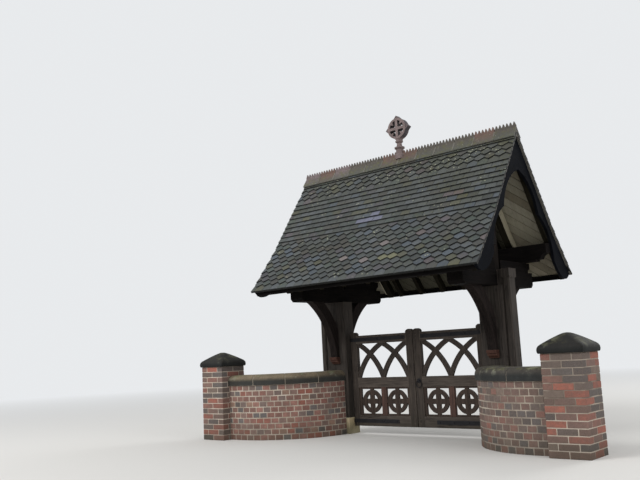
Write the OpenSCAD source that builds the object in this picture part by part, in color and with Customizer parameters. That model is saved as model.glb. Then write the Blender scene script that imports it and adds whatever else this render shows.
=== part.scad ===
/* [Site] */
// Rise of the ground from the feet of the piers to the gateway
gate_ground = 90; // [60:10:220]
// Number of points on each quarter of a curved outline
curve_steps = 16; // [8:1:24]

/* [Gateway posts] */
// Clear width between the two main posts
opening_w = 2420; // [2200:10:2900]
// Width of a main post along the ridge
post_w = 395; // [320:5:440]
// Depth of a main post from road to churchyard
post_d = 240; // [220:5:320]
// Chamfer on the upright corners of the posts
post_chamfer = 18; // [6:1:25]
// Width of the sunk groove between main and outer post
groove_w = 18; // [15:1:40]
// Depth of that groove below the face
groove_d = 30; // [20:1:40]
// Width of the outer post along the ridge
outer_post_w = 95; // [80:5:140]
// Depth of the outer post
outer_post_d = 190; // [140:5:210]
// Height of the moulded head of the outer post
head_block_h = 120; // [90:5:150]
// Overhang of that head
head_lip = 10; // [6:1:16]
// Height of the padstone above the gateway ground
pad_h = 160; // [120:5:260]
// How far the padstone stands proud of the posts
pad_lip = 12; // [6:1:25]

/* [Cross beams and braces] */
// Underside of the cross beams above the gateway ground
beam_h = 1985; // [1850:5:2150]
// Depth of a cross beam
beam_depth = 220; // [180:5:260]
// Thickness of a cross beam along the ridge
beam_t = 240; // [200:5:280]
// Reach of a cross beam from the middle of the post
beam_reach = 1010; // [940:5:1060]
// Chamfer under each end of a cross beam
beam_end_chamfer = 45; // [20:5:70]
// Thickness of a curved brace
brace_t = 125; // [95:5:170]
// Radius of the hollow underside of a brace
brace_r = 1120; // [1080:10:1160]
// Distance of the centre of that hollow below the corbel tops
brace_sink = 80; // [60:5:100]
// Depth of a brace measured across its curve
brace_depth = 165; // [140:5:190]
// Distance of the brace foot from the face of the post
brace_foot = 58; // [45:1:80]
// Height of the corbel tops above the gateway ground
corbel_h = 1110; // [1060:10:1160]
// Height of one corbel
corbel_depth = 110; // [80:5:140]
// How far a corbel is wider than its brace on each side
corbel_side = 10; // [4:1:16]
// How far a corbel stands out from its post
corbel_reach = 95; // [88:1:125]

/* [Roof timbers] */
// Side of a square king post
king_post_w = 160; // [120:5:200]
// Thickness of the tie arms
arm_t = 200; // [140:5:230]
// Depth of the tie arms
arm_depth = 145; // [120:5:160]
// Reach of the tie arms from the middle of the post
arm_reach = 985; // [920:5:1040]
// Radius of the hollow under the end of a tie arm
arm_hollow = 60; // [40:5:80]
// Width of a wall plate
plate_w = 130; // [100:5:150]
// Distance from the middle of the post to the middle of a wall plate
plate_y = 815; // [780:5:840]
// Radius of the hollow under each end of a wall plate
plate_hollow = 105; // [70:5:130]
// Thickness of the ridge beam
ridge_beam_t = 60; // [50:5:80]
// Depth of the ridge beam
ridge_beam_depth = 200; // [160:5:240]
// Width of a common rafter
rafter_w = 65; // [50:5:90]
// Width of the principal rafters beside the king posts
principal_w = 105; // [80:5:120]
// Depth of a rafter
rafter_depth = 100; // [80:5:120]
// Distance between the rafters over the gateway
rafter_gap = 420; // [380:10:440]
// Thickness of the boarding over the rafters
board_t = 22; // [18:1:30]

/* [Roof covering] */
// Height of the tile edge at the eaves above the gateway ground
eaves_h = 2177; // [2130:1:2230]
// Distance from the middle of the roof to the tile edge
eaves_reach = 1440; // [1390:5:1480]
// Slope of the foot of the roof in degrees
pitch_foot = 50.5; // [49:0.5:52]
// Slope of the upper roof in degrees
pitch_top = 55.5; // [54:0.5:58]
// Length of the straight foot of the roof
foot_len = 780; // [720:10:860]
// Radius of the swept bend between foot and upper slope
sweep_r = 2500; // [2000:50:3000]
// Thickness of tiles and battens together
tile_t = 45; // [35:1:60]
// Length of the roof along the ridge
roof_len = 3944; // [3800:4:4200]
// Width of each wing of the ridge tiles
ridge_wing = 150; // [120:5:180]
// Thickness of the ridge tiles
ridge_t = 24; // [18:1:30]
// Height of the solid rib along the ridge tiles
rib_h = 18; // [6:1:40]
// Thickness of that rib
rib_t = 22; // [16:1:30]
// Height of the teeth of the crest
tooth_h = 48; // [30:1:70]
// Distance between the teeth of the crest
tooth_gap = 56; // [50:1:80]

/* [Bargeboards and fascias] */
// Thickness of a bargeboard
barge_t = 42; // [30:1:60]
// Set back of the bargeboard from the end of the tiles
barge_setback = 30; // [20:1:50]
// Distance from the top of the tiles to the lower edge of the bargeboards where they meet
barge_top_depth = 325; // [280:5:360]
// Distance from the top of the tiles to the cusp of the bargeboard
barge_depth = 225; // [190:5:250]
// Distance of the cusp along the slope above the swept bend
barge_cusp_up = 190; // [120:10:260]
// Depth of the hollows between the cusps
barge_bite = 106; // [70:2:120]
// Distance from the top of the tiles to the lower edge of the bargeboard foot
barge_foot_depth = 312; // [260:4:340]
// Distance along the slope from the tile edge to the shoulder of the foot
barge_shoulder = 463; // [420:1:520]
// Distance along the slope from the tile edge to the rounded toe of the foot
barge_toe = 330; // [280:5:380]
// Distance from the top of the tiles to the lower end of the rounded toe
barge_end_depth = 115; // [90:5:140]
// Thickness of an eaves fascia
fascia_t = 30; // [22:1:40]
// Depth of an eaves fascia
fascia_depth = 50; // [36:2:90]

/* [Finial] */
// Diagonal of the square finial block
finial_diag = 420; // [390:5:440]
// Radius of the pierced disc on that block
finial_r = 164; // [158:1:172]
// Thickness of the finial block
finial_t = 95; // [80:5:130]
// Height of the finial neck
neck_h = 260; // [240:4:320]
// Radius of the finial neck
neck_r = 40; // [34:1:50]
// Width of the finial ring
finial_ring = 34; // [26:1:38]

/* [Wing walls and piers] */
// Distance between the inner faces of the two piers
piers_apart = 5356; // [5256:10:5600]
// Side of a square pier
pier_w = 480; // [420:10:560]
// Height of the brickwork of a pier
pier_h = 1140; // [1060:10:1300]
// How far a pier stands in front of the wing wall
pier_proud = 145; // [40:5:180]
// Radius of the wing wall on its road side
wing_r = 1210; // [1160:10:1260]
// Distance from the middle of the posts forward to the centre of the wing curve
wing_centre_front = 95; // [60:5:105]
// Length of the straight stretch of a wing wall beside its pier
wing_straight = 200; // [100:10:300]
// Thickness of the wing wall
wing_t = 330; // [300:5:345]
// Height of the brickwork of the wing wall
wing_h = 832; // [780:4:900]
// Height of the coping
coping_h = 160; // [120:5:180]
// Overhang of the coping on each side
coping_lip = 22; // [10:1:30]
// Overhang of a pier cap
cap_lip = 30; // [20:5:60]
// Height of the upright edge of a pier cap
cap_edge = 85; // [60:5:110]
// Height of the sloping top of a pier cap
cap_rise = 140; // [100:5:180]

/* [Gate leaves] */
// Height of the gates above the gateway ground
leaf_top = 1430; // [1300:10:1500]
// Gap under the gates
leaf_under = 28; // [20:1:60]
// Thickness of a gate
leaf_t = 70; // [60:1:80]
// Gap between a gate and its post
leaf_side_gap = 17; // [14:1:24]
// Gap between the two gates
meeting_gap = 14; // [13:1:20]
// Distance from the middle of the posts to the front of the gates
leaf_front_y = 0; // [0:1:20]
// Width of the stile on the hinge side
hinge_stile_w = 112; // [100:5:150]
// Width of the stile where the gates meet
meeting_stile_w = 122; // [90:2:140]
// Height of the rounded stile tops above the top rail
horn_h = 55; // [20:1:70]
// Depth of the top rail
top_rail_h = 130; // [100:5:150]
// Depth of the middle rail
mid_rail_h = 148; // [120:2:170]
// Depth of the bottom rail
bottom_rail_h = 158; // [140:2:190]
// Height of the lower panels
panel_h = 436; // [420:2:450]
// Width of the upright between the lower panels
muntin_w = 90; // [70:5:110]
// Width of the thin frame above and below the wheels
panel_edge = 30; // [20:2:32]
// Width of that frame beside the wheels
panel_side = 40; // [20:5:60]
// Width of the curved bars in the upper panel
arch_bar_w = 64; // [50:1:74]
// Thickness of the curved bars
arch_bar_t = 50; // [36:1:56]
// Lean of the curved bars where they spring, in degrees
arch_lean = 20; // [14:0.5:26]
// Thickness of the wheel panels
wheel_t = 40; // [30:1:50]
// Radius of a wheel
wheel_r = 176; // [165:1:182]
// Width of the rim of a wheel
wheel_rim = 48; // [36:1:56]
// Width of the arms of a wheel cross
wheel_arm = 58; // [40:1:62]

/* [Ironwork] */
// Radius of the hinge pins
pin_r = 9; // [7:0.5:11]
// Play between pin and knuckle
pin_play = 1; // [0.5:0.25:1.5]
// Wall of the knuckle
knuckle_wall = 7; // [5:0.5:9]
// Height of a hinge knuckle
knuckle_h = 60; // [50:2:80]
// Distance of the pin from the face of the post
pin_from_post = 26; // [24:1:30]
// Distance of the pin behind the gate
pin_behind = 21; // [19:1:26]
// Height of a hinge strap
strap_h = 58; // [40:2:60]
// Thickness of the strap iron
strap_t = 5; // [4:0.5:7]
// Length of the lower straps
strap_len = 860; // [700:10:920]
// Length of the upper straps, which take the pull of the gate
top_strap_len = 1050; // [900:10:1060]
// Radius of the latch ring
ring_r = 55; // [40:1:65]
// Thickness of the latch ring
ring_t = 12; // [9:1:16]

/* [Hidden] */
$fn = 48;
sweep_fn = 240;
// Play between timbers that pass each other
timber_play = 4;
post_x0 = opening_w / 2;
post_x1 = post_x0 + post_w;
post_mid = post_x0 + post_w / 2;
outer_x0 = post_x1 + groove_w;
outer_x1 = outer_x0 + outer_post_w;
pad_top = gate_ground + pad_h;
beam_z0 = gate_ground + beam_h;
beam_z1 = beam_z0 + beam_depth;
arm_z1 = beam_z1 + arm_depth;
eaves_z = gate_ground + eaves_h;
roof_x = roof_len / 2;
barge_x1 = roof_x - barge_setback;
barge_x0 = barge_x1 - barge_t;
pier_x0 = piers_apart / 2;
wing_front = wing_r + wing_centre_front;
pier_front = wing_front + pier_proud;
front_reach = pier_front + cap_lip;
site_shift_y = (front_reach - eaves_reach) / 2;

// The swept roof line is one arc between two straight slopes
sweep_start = [eaves_reach - foot_len * cos(pitch_foot), eaves_z + foot_len * sin(pitch_foot)];
sweep_centre = sweep_start + sweep_r * [sin(pitch_foot), cos(pitch_foot)];
function on_sweep(pitch, sunk) = sweep_centre - (sweep_r + sunk) * [sin(pitch), cos(pitch)];
function above_sweep(y, sunk) =
    let (p = on_sweep(pitch_top, sunk)) [y, p[1] + (p[0] - y) * tan(pitch_top)];
function eaves_point(trim, sunk) =
    [eaves_reach, eaves_z] + trim * [-cos(pitch_foot), sin(pitch_foot)]
    - sunk * [sin(pitch_foot), cos(pitch_foot)];
function swept_line(y_top, sunk) = concat(
    [above_sweep(y_top, sunk)],
    [for (i = [0:curve_steps]) on_sweep(pitch_top + (pitch_foot - pitch_top) * i / curve_steps, sunk)]);
function reversed(list) = [for (i = [len(list) - 1:-1:0]) list[i]];
// Lowest height of a roof layer over a point of the foot slope
function foot_height(y, sunk) =
    let (p = eaves_point(0, sunk)) p[1] + (p[0] - y) * tan(pitch_foot);

boards_sunk = tile_t + board_t;
rafters_sunk = boards_sunk + rafter_depth;
apex_z = above_sweep(0, 0)[1];
ridge_foot = [ridge_wing * cos(pitch_top), apex_z - ridge_wing * sin(pitch_top)];
ridge_beam_z1 = above_sweep(ridge_beam_t / 2, boards_sunk)[1] - 4;
ridge_beam_z0 = ridge_beam_z1 - ridge_beam_depth;
ridge_beam_len = 2 * barge_x0;
board_trim = 26;
rafter_foot_y = eaves_point(board_trim, boards_sunk)[0] - fascia_t;

leaf_z0 = gate_ground + leaf_under;
leaf_z1 = gate_ground + leaf_top;
leaf_x0 = meeting_gap / 2;
leaf_x1 = post_x0 - leaf_side_gap;
panel_x0 = leaf_x0 + meeting_stile_w;
panel_x1 = leaf_x1 - hinge_stile_w;
panel_mid = (panel_x0 + panel_x1) / 2;
leaf_mid_y = leaf_front_y + leaf_t / 2;
leaf_back_y = leaf_front_y + leaf_t;
lower_z0 = leaf_z0 + bottom_rail_h;
lower_z1 = lower_z0 + panel_h;
upper_z0 = lower_z1 + mid_rail_h;
upper_z1 = leaf_z1 - top_rail_h;
// Each curved bar springs from a corner and reaches the top rail half a panel away
arch_run = (panel_x1 - panel_x0) / 2;
arch_rise = upper_z1 - upper_z0;
arch_r = norm([arch_run, arch_rise]) / 2 / sin(atan(arch_run / arch_rise) - arch_lean);
pin_x = post_x0 - pin_from_post;
pin_y = leaf_back_y + pin_behind;
knuckle_r = pin_r + pin_play + knuckle_wall;
hinge_heights = [leaf_z0 + bottom_rail_h / 2, leaf_z1 - top_rail_h / 2];
strap_lengths = [strap_len, top_strap_len];

timber = [0.20, 0.17, 0.15];
weathered = [0.36, 0.31, 0.28];
brick = [0.50, 0.27, 0.21];
slate_stone = [0.24, 0.24, 0.25];
tile_brown = [0.30, 0.29, 0.28];
iron = [0.12, 0.12, 0.13];

// Moves the whole part so that the middle of its footprint is the origin
module on_site() {
    translate([0, site_shift_y, 0]) children();
}

// Turns an outline of depth and height into a piece that runs along the ridge
module along_ridge(x0, x1) {
    translate([x0, 0, 0]) rotate([90, 0, 90]) linear_extrude(x1 - x0) children();
}

// Turns an outline of width and height into a piece that runs from road to churchyard
module through_gate(y0, y1) {
    translate([0, y1, 0]) rotate([90, 0, 0]) linear_extrude(y1 - y0) children();
}

module left_and_right() {
    children();
    mirror([1, 0, 0]) children();
}

module front_and_back() {
    children();
    mirror([0, 1, 0]) children();
}

module block(from, to) {
    translate(from) cube(to - from);
}

module chamfered_plan(x0, x1, y0, y1, c) {
    polygon([[x0 + c, y0], [x1 - c, y0], [x1, y0 + c], [x1, y1 - c],
        [x1 - c, y1], [x0 + c, y1], [x0, y1 - c], [x0, y0 + c]]);
}

// Posts and their stones
module padstones() {
    color([0.79, 0.69, 0.55]) on_site() left_and_right()
        block([post_x0, -post_d / 2, 0], [outer_x1 + pad_lip, post_d / 2 + pad_lip, pad_top]);
}

module main_post() {
    translate([0, 0, pad_top]) linear_extrude(beam_z0 - pad_top)
        chamfered_plan(post_x0, post_x1, -post_d / 2, post_d / 2, post_chamfer);
}

module outer_posts() {
    face = -post_d / 2;
    back = face + outer_post_d;
    ledge = beam_z1 - head_block_h;
    color(weathered) on_site() left_and_right() {
        translate([0, 0, pad_top]) linear_extrude(beam_z1 - pad_top) {
            chamfered_plan(outer_x0, outer_x1, face, back, post_chamfer);
            polygon([[post_x1, face + groove_d], [outer_x0 + post_chamfer, face + groove_d],
                [outer_x0 + post_chamfer, back - groove_d], [post_x1, back - groove_d]]);
        }
        block([post_mid + beam_t / 2, face + groove_d, beam_z0], [outer_x0 + post_chamfer, back - groove_d, beam_z1]);
        along_ridge(outer_x0 - head_lip, outer_x1 + head_lip)
            polygon([[face, ledge], [back, ledge], [back + head_lip, ledge + 2 * head_lip],
                [back + head_lip, beam_z1], [face - head_lip, beam_z1], [face - head_lip, ledge + 2 * head_lip]]);
    }
}

module cross_beam() {
    c = beam_end_chamfer;
    along_ridge(post_mid - beam_t / 2, post_mid + beam_t / 2)
        polygon([[-beam_reach + c, beam_z0], [beam_reach - c, beam_z0], [beam_reach, beam_z0 + c],
            [beam_reach, beam_z1], [-beam_reach, beam_z1], [-beam_reach, beam_z0 + c]]);
}

// A brace is the part of a ring between the post and the cross beam
module brace_pair() {
    foot_z = gate_ground + corbel_h;
    foot_y = post_d / 2 + brace_foot;
    front_and_back() along_ridge(post_mid - brace_t / 2, post_mid + brace_t / 2)
        intersection() {
            translate([foot_y + brace_r, foot_z - brace_sink]) difference() {
                circle(r = brace_r + brace_depth, $fn = sweep_fn);
                circle(r = brace_r, $fn = sweep_fn);
            }
            translate([post_d / 2, foot_z]) square([brace_r, beam_z0 - foot_z]);
        }
}

module corbels() {
    top = gate_ground + corbel_h;
    face = post_d / 2;
    roll = corbel_depth / 3;
    step = corbel_reach / 4;
    w = brace_t / 2 + corbel_side;
    color([0.42, 0.25, 0.20]) on_site() left_and_right() front_and_back()
        along_ridge(post_mid - w, post_mid + w)
        polygon([[face, top], [face + corbel_reach, top], [face + corbel_reach, top - roll],
            [face + 3 * step, top - roll], [face + 3 * step, top - 2 * roll], [face + 2 * step, top - 2 * roll],
            [face + step, top - corbel_depth], [face, top - corbel_depth]]);
}

// Roof timbers
module king_post() {
    h = king_post_w / 2;
    translate([post_mid, 0, beam_z1]) linear_extrude(ridge_beam_z0 - beam_z1)
        chamfered_plan(-h, h, -h, h, post_chamfer / 2);
}

module arm_pair() {
    front_and_back() along_ridge(post_mid - arm_t / 2, post_mid + arm_t / 2)
        difference() {
            translate([king_post_w / 2, beam_z1]) square([arm_reach - king_post_w / 2, arm_depth]);
            translate([arm_reach, beam_z1]) circle(r = arm_hollow);
        }
}

// The ends of the wall plates are hollowed out below
module wall_plates() {
    y0 = plate_y - plate_w / 2;
    y1 = plate_y + plate_w / 2;
    top = foot_height(y1, rafters_sunk);
    color(timber) on_site() front_and_back() difference() {
        block([-barge_x0, y0, arm_z1], [barge_x0, y1, top]);
        left_and_right() through_gate(y0 - 1, y1 + 1) {
            translate([barge_x0, arm_z1]) circle(r = plate_hollow);
            translate([barge_x0 - 1.6 * plate_hollow, arm_z1 - 1]) square([plate_hollow, plate_hollow / 4]);
        }
    }
}

module ridge_beam() {
    color(timber) on_site() along_ridge(-ridge_beam_len / 2, ridge_beam_len / 2)
        translate([-ridge_beam_t / 2, ridge_beam_z0]) square([ridge_beam_t, ridge_beam_depth]);
}

// Middle and width of each rafter on the right half of the roof
function rafter_places() = concat(
    [for (i = [0:2]) [rafter_gap * (i + 0.5), rafter_w]],
    [[post_mid - (king_post_w + principal_w) / 2 - timber_play, principal_w]],
    [[barge_x0 - rafter_w / 2 - timber_play, rafter_w]]);

module rafter_profile() {
    intersection() {
        polygon(concat(swept_line(ridge_beam_t / 2, boards_sunk), [eaves_point(board_trim, boards_sunk)],
            [eaves_point(board_trim, rafters_sunk)], reversed(swept_line(ridge_beam_t / 2, rafters_sunk))));
        translate([ridge_beam_t / 2, 0]) square([rafter_foot_y - ridge_beam_t / 2, apex_z]);
    }
}

module rafters() {
    for (r = rafter_places()) left_and_right() along_ridge(r[0] - r[1] / 2, r[0] + r[1] / 2) rafter_profile();
}

module boarding() {
    along_ridge(-barge_x0, barge_x0)
        polygon(concat(swept_line(0, tile_t), [eaves_point(board_trim, tile_t)],
            [eaves_point(board_trim, boards_sunk)], reversed(swept_line(0, boards_sunk))));
}

// Roof covering
// It shares its corners with the boarding below and the ridge tiles above
module tile_slope() {
    upper = swept_line(0, 0);
    along_ridge(-roof_x, roof_x)
        polygon(concat([upper[0]], [ridge_foot], [for (i = [1:len(upper) - 1]) upper[i]],
            [eaves_point(0, 0)], [eaves_point(0, tile_t)], [eaves_point(board_trim, tile_t)],
            reversed(swept_line(0, tile_t))));
}

module ridge_tiles() {
    out = ridge_t * [sin(pitch_top), cos(pitch_top)];
    top = apex_z + ridge_t / cos(pitch_top);
    teeth = floor(roof_len / tooth_gap);
    start = -teeth * tooth_gap / 2;
    rib_top = top + rib_h;
    color([0.42, 0.37, 0.36]) on_site() {
        front_and_back() along_ridge(-roof_x, roof_x)
            polygon([[0, apex_z], ridge_foot, ridge_foot + out, [0, top]]);
        through_gate(-rib_t / 2, rib_t / 2)
            polygon(concat([[start, top - ridge_t], [start, rib_top]],
                [for (i = [0:teeth - 1], s = [0.5, 1]) [start + (i + s) * tooth_gap,
                    rib_top + (s < 1 ? tooth_h : 0)]],
                [[-start, top - ridge_t]]));
    }
}

module finial() {
    foot = apex_z + ridge_t / cos(pitch_top);
    neck_top = foot + rib_h + neck_h;
    saddle = neck_r * 1.5;
    side = finial_diag / sqrt(2);
    mid = neck_top + finial_r - neck_r * 0.4;
    disc_y = finial_t * 0.6;
    // Each turning has its radius as a share of the neck radius and its height as a share of the neck height
    turnings = [[1.9, 0], [1.55, 0.08], [1.45, 0.34], [2, 0.39], [2, 0.46], [1.1, 0.52], [0.95, 0.7],
        [1.5, 0.76], [1.5, 0.84], [1.05, 0.88], [1.15, 1]];
    color([0.55, 0.50, 0.47]) on_site() {
        difference() {
            rotate_extrude() polygon(concat([[0, foot - saddle], [turnings[0][0] * neck_r, foot - saddle]],
                [for (t = turnings) [t[0] * neck_r, foot + t[1] * (neck_top - foot)]], [[0, neck_top]]));
            finial_seat();
        }
        difference() {
            union() {
                translate([0, 0, mid]) rotate([0, 45, 0]) cube([side, finial_t, side], center = true);
                through_gate(-disc_y, disc_y) translate([0, mid]) circle(r = finial_r);
            }
            for (a = [0:90:270]) translate([0, 0, mid]) rotate([0, a, 0])
                finial_quadrant(finial_r - finial_ring, finial_ring * 0.6);
        }
    }
}

// An opening between two arms of the cross, with a cusp that points inward from the ring
module finial_quadrant(r, slot) {
    through_gate(-finial_t, finial_t) intersection() {
        difference() {
            circle(r = r);
            circle(r = finial_ring * 1.1);
            rotate(45) polygon([[r * 0.62, 0], [r * 1.1, r * 0.22], [r * 1.1, -r * 0.22]]);
        }
        translate([slot, slot]) square(r);
    }
}

// Room for the ridge tiles and the rib under the finial
module finial_seat() {
    top = apex_z + ridge_t / cos(pitch_top);
    reach = 2 * neck_r + 5;
    drop = reach * tan(pitch_top);
    along_ridge(-reach, reach) polygon([[0, top], [reach, top - drop], [-reach, top - drop]]);
    block([-reach, -rib_t / 2, top - ridge_t], [reach, rib_t / 2, top + rib_h + tooth_h]);
}

// The lower edge of a bargeboard runs in two hollows from the top to a cusp and on to a wide foot
module bargeboard_half() {
    top = above_sweep(0, barge_top_depth);
    cusp = on_sweep(pitch_top, barge_depth) + barge_cusp_up * [-cos(pitch_top), sin(pitch_top)];
    shoulder = eaves_point(barge_shoulder, barge_foot_depth);
    toe = [for (i = [0:curve_steps]) let (a = 90 - 90 * i / curve_steps)
        eaves_point(barge_toe - (barge_toe - board_trim) * sin(a),
            barge_end_depth + (barge_foot_depth - barge_end_depth) * cos(a))];
    difference() {
        polygon(concat(swept_line(0, tile_t), [eaves_point(board_trim, tile_t)], toe, [shoulder, cusp, top]));
        hollow_between(top, cusp);
        hollow_between(cusp, shoulder);
    }
}

// A disc that bites a shallow hollow between two cusps
module hollow_between(a, b) {
    span = norm(b - a);
    along = (b - a) / span;
    r = (span * span / 4 + barge_bite * barge_bite) / (2 * barge_bite);
    translate((a + b) / 2 - (r - barge_bite) * [-along[1], along[0]]) circle(r = r, $fn = sweep_fn);
}

module gable_boards() {
    front_and_back() along_ridge(barge_x0, barge_x1) bargeboard_half();
}

module fascias() {
    y1 = rafter_foot_y + fascia_t;
    top = foot_height(y1, boards_sunk) - 2;
    color(timber) on_site() front_and_back() along_ridge(-barge_x0, barge_x0)
        translate([rafter_foot_y, top - fascia_depth]) square([fascia_t, fascia_depth]);
}

// Wing walls and piers
// Sweeps an outline of radius and height along the straight stretch and the curve of a wing wall
module along_wing(height) {
    curve_x = pier_x0 - wing_straight;
    along_ridge(curve_x, pier_x0) mirror([1, 0]) translate([wing_centre_front, 0]) children();
    translate([curve_x, -wing_centre_front, 0]) intersection() {
        rotate([0, 0, 180]) rotate_extrude(angle = 90, $fn = sweep_fn) children();
        block([-wing_front, -wing_front, -1], [0, wing_centre_front - post_d / 2, height + 1]);
    }
}

module wing_wall() {
    along_wing(wing_h) translate([wing_r - wing_t, 0]) square([wing_t, wing_h]);
}

module coping() {
    r0 = wing_r - wing_t - coping_lip;
    r1 = wing_r + coping_lip;
    round_r = coping_h * 0.6;
    translate([0, 0, wing_h]) along_wing(coping_h) {
        translate([r0, 0]) square([r1 - r0, coping_h - round_r]);
        translate([r0 + round_r, 0]) square([r1 - r0 - 2 * round_r, coping_h]);
        for (r = [r0 + round_r, r1 - round_r]) intersection() {
            translate([r, coping_h - round_r]) circle(r = round_r);
            translate([r - round_r, coping_h - round_r]) square([2 * round_r, round_r]);
        }
    }
}

module pier() {
    block([pier_x0, -pier_front, 0], [pier_x0 + pier_w, -pier_front + pier_w, pier_h]);
}

module pier_caps() {
    cap_w = pier_w + 2 * cap_lip;
    skin = 1;
    // Each course of the sloping top has its width and its height as shares
    slope = [[1, 0], [0.58, 0.56], [0.34, 0.86], [0.16, 1]];
    color(slate_stone) on_site() left_and_right()
        translate([pier_x0 + pier_w / 2, -pier_front + pier_w / 2, pier_h]) {
            block([-cap_w / 2, -cap_w / 2, 0], [cap_w / 2, cap_w / 2, cap_edge]);
            hull() for (c = slope)
                translate([0, 0, cap_edge + c[1] * (cap_rise - skin)])
                    linear_extrude(skin) square(c[0] * cap_w, center = true);
        }
}

// Gate leaves, drawn on the right side and mirrored to the left
module leaf_stiles() {
    for (s = [[leaf_x0, panel_x0], [panel_x1, leaf_x1]]) {
        w = s[1] - s[0];
        through_gate(leaf_front_y, leaf_back_y) intersection() {
            translate([s[0], leaf_z0]) square([w, leaf_z1 + horn_h - leaf_z0]);
            union() {
                translate([s[0], leaf_z0]) square([w, leaf_z1 - leaf_z0]);
                translate([s[0] + w / 2, leaf_z1 + horn_h - w * 0.6]) circle(r = w * 0.6);
            }
        }
    }
}

module leaf_rails() {
    for (z = [[leaf_z0, lower_z0], [lower_z1, upper_z0], [upper_z1, leaf_z1]])
        block([panel_x0, leaf_front_y, z[0]], [panel_x1, leaf_back_y, z[1]]);
}

module arch_bar(x, side) {
    centre_drop = arch_r * sin(arch_lean);
    centre_out = arch_r * cos(arch_lean);
    translate([x + side * centre_out, upper_z0 - centre_drop]) difference() {
        circle(r = arch_r + arch_bar_w / 2, $fn = 96);
        circle(r = arch_r - arch_bar_w / 2, $fn = 96);
    }
}

module leaf_arches() {
    half = panel_x1 - panel_mid;
    through_gate(leaf_mid_y - arch_bar_t / 2, leaf_mid_y + arch_bar_t / 2) {
        for (s = [[panel_x0, 1], [panel_mid, 1], [panel_mid, -1], [panel_x1, -1]])
            intersection() {
                arch_bar(s[0], s[1]);
                translate([s[1] > 0 ? s[0] - arch_bar_w : panel_x0, upper_z0])
                    square([s[1] > 0 ? panel_x1 - s[0] + arch_bar_w : s[0] - panel_x0 + arch_bar_w, upper_z1 - upper_z0]);
                translate([panel_x0, upper_z0]) square([panel_x1 - panel_x0, upper_z1 - upper_z0]);
            }
    }
}

// The arms of the cross grow wider where they meet the rim
module wheel() {
    inner_r = wheel_r - wheel_rim;
    flare = wheel_r * 0.2;
    difference() {
        circle(r = wheel_r);
        circle(r = inner_r);
    }
    for (a = [0:90:270]) rotate(a)
        polygon([[inner_r - 2 * flare, 0], [inner_r + wheel_rim / 4, flare], [inner_r + wheel_rim / 4, -flare]]);
    circle(r = wheel_arm * 0.8);
}

module leaf_wheels() {
    mid_z = (lower_z0 + lower_z1) / 2;
    panel_w = panel_x1 - panel_x0;
    light_w = (panel_w - muntin_w) / 2 - panel_side;
    step = leaf_t / 12;
    block([panel_mid - muntin_w / 2, leaf_front_y + step, lower_z0],
        [panel_mid + muntin_w / 2, leaf_back_y - step, lower_z1]);
    through_gate(leaf_mid_y - wheel_t / 2, leaf_mid_y + wheel_t / 2) translate([panel_mid, mid_z]) {
        difference() {
            square([panel_w, panel_h], center = true);
            square([panel_w - 2 * panel_side, panel_h - 2 * panel_edge], center = true);
        }
        for (s = [-1, 1]) translate([s * (muntin_w + light_w) / 2, 0]) {
            wheel();
            square([light_w, wheel_arm], center = true);
            square([wheel_arm, panel_h], center = true);
        }
    }
}

module leaf_straps() {
    for (i = [0, 1]) {
        z = hinge_heights[i];
        for (y = [leaf_front_y - strap_t, leaf_back_y])
            block([leaf_x1 - strap_lengths[i], y, z - strap_h / 2], [leaf_x1, y + strap_t, z + strap_h / 2]);
        block([leaf_x1, leaf_front_y - strap_t, z - strap_h / 2], [leaf_x1 + strap_t, leaf_back_y + strap_t, z + strap_h / 2]);
        difference() {
            union() {
                translate([pin_x, pin_y, z - knuckle_h / 2]) cylinder(r = knuckle_r, h = knuckle_h);
                block([pin_x - knuckle_r, leaf_back_y + strap_t, z - strap_h / 2], [pin_x + knuckle_wall, pin_y, z + strap_h / 2]);
            }
            translate([pin_x, pin_y, z - knuckle_h]) cylinder(r = pin_r + pin_play, h = 2 * knuckle_h);
        }
    }
}

module hinge_hooks() {
    gap = 2;
    shelf = 24;
    color(iron) on_site() left_and_right() for (z = hinge_heights) {
        low = z - knuckle_h / 2 - gap;
        translate([pin_x, pin_y, low - shelf]) cylinder(r = pin_r, h = shelf + knuckle_h + 4 * gap);
        translate([pin_x, pin_y, low - shelf]) cylinder(r = knuckle_r, h = shelf);
        block([pin_x, pin_y - shelf / 2, low - shelf], [post_x0, pin_y + shelf / 2, low]);
    }
}

module latch() {
    z = leaf_z0 + (leaf_z1 - leaf_z0) * 0.486;
    x = leaf_x0 + meeting_stile_w / 2;
    plate_t = ring_t / 2;
    plate_r = ring_r * 0.62;
    boss = ring_t * 2;
    color(iron) on_site() {
        through_gate(leaf_front_y - plate_t, leaf_front_y) translate([x, z]) circle(r = plate_r);
        through_gate(leaf_front_y - plate_t - boss, leaf_front_y - plate_t) translate([x, z]) circle(r = ring_t);
        translate([x, leaf_front_y - plate_t - boss / 2, z - ring_r + ring_t / 2]) rotate([90, 0, 0])
            rotate_extrude() translate([ring_r - ring_t / 2, 0]) circle(r = ring_t / 2);
    }
}

module put_left(c) {
    color(c) on_site() mirror([1, 0, 0]) children();
}

module put_right(c) {
    color(c) on_site() children();
}

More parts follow.
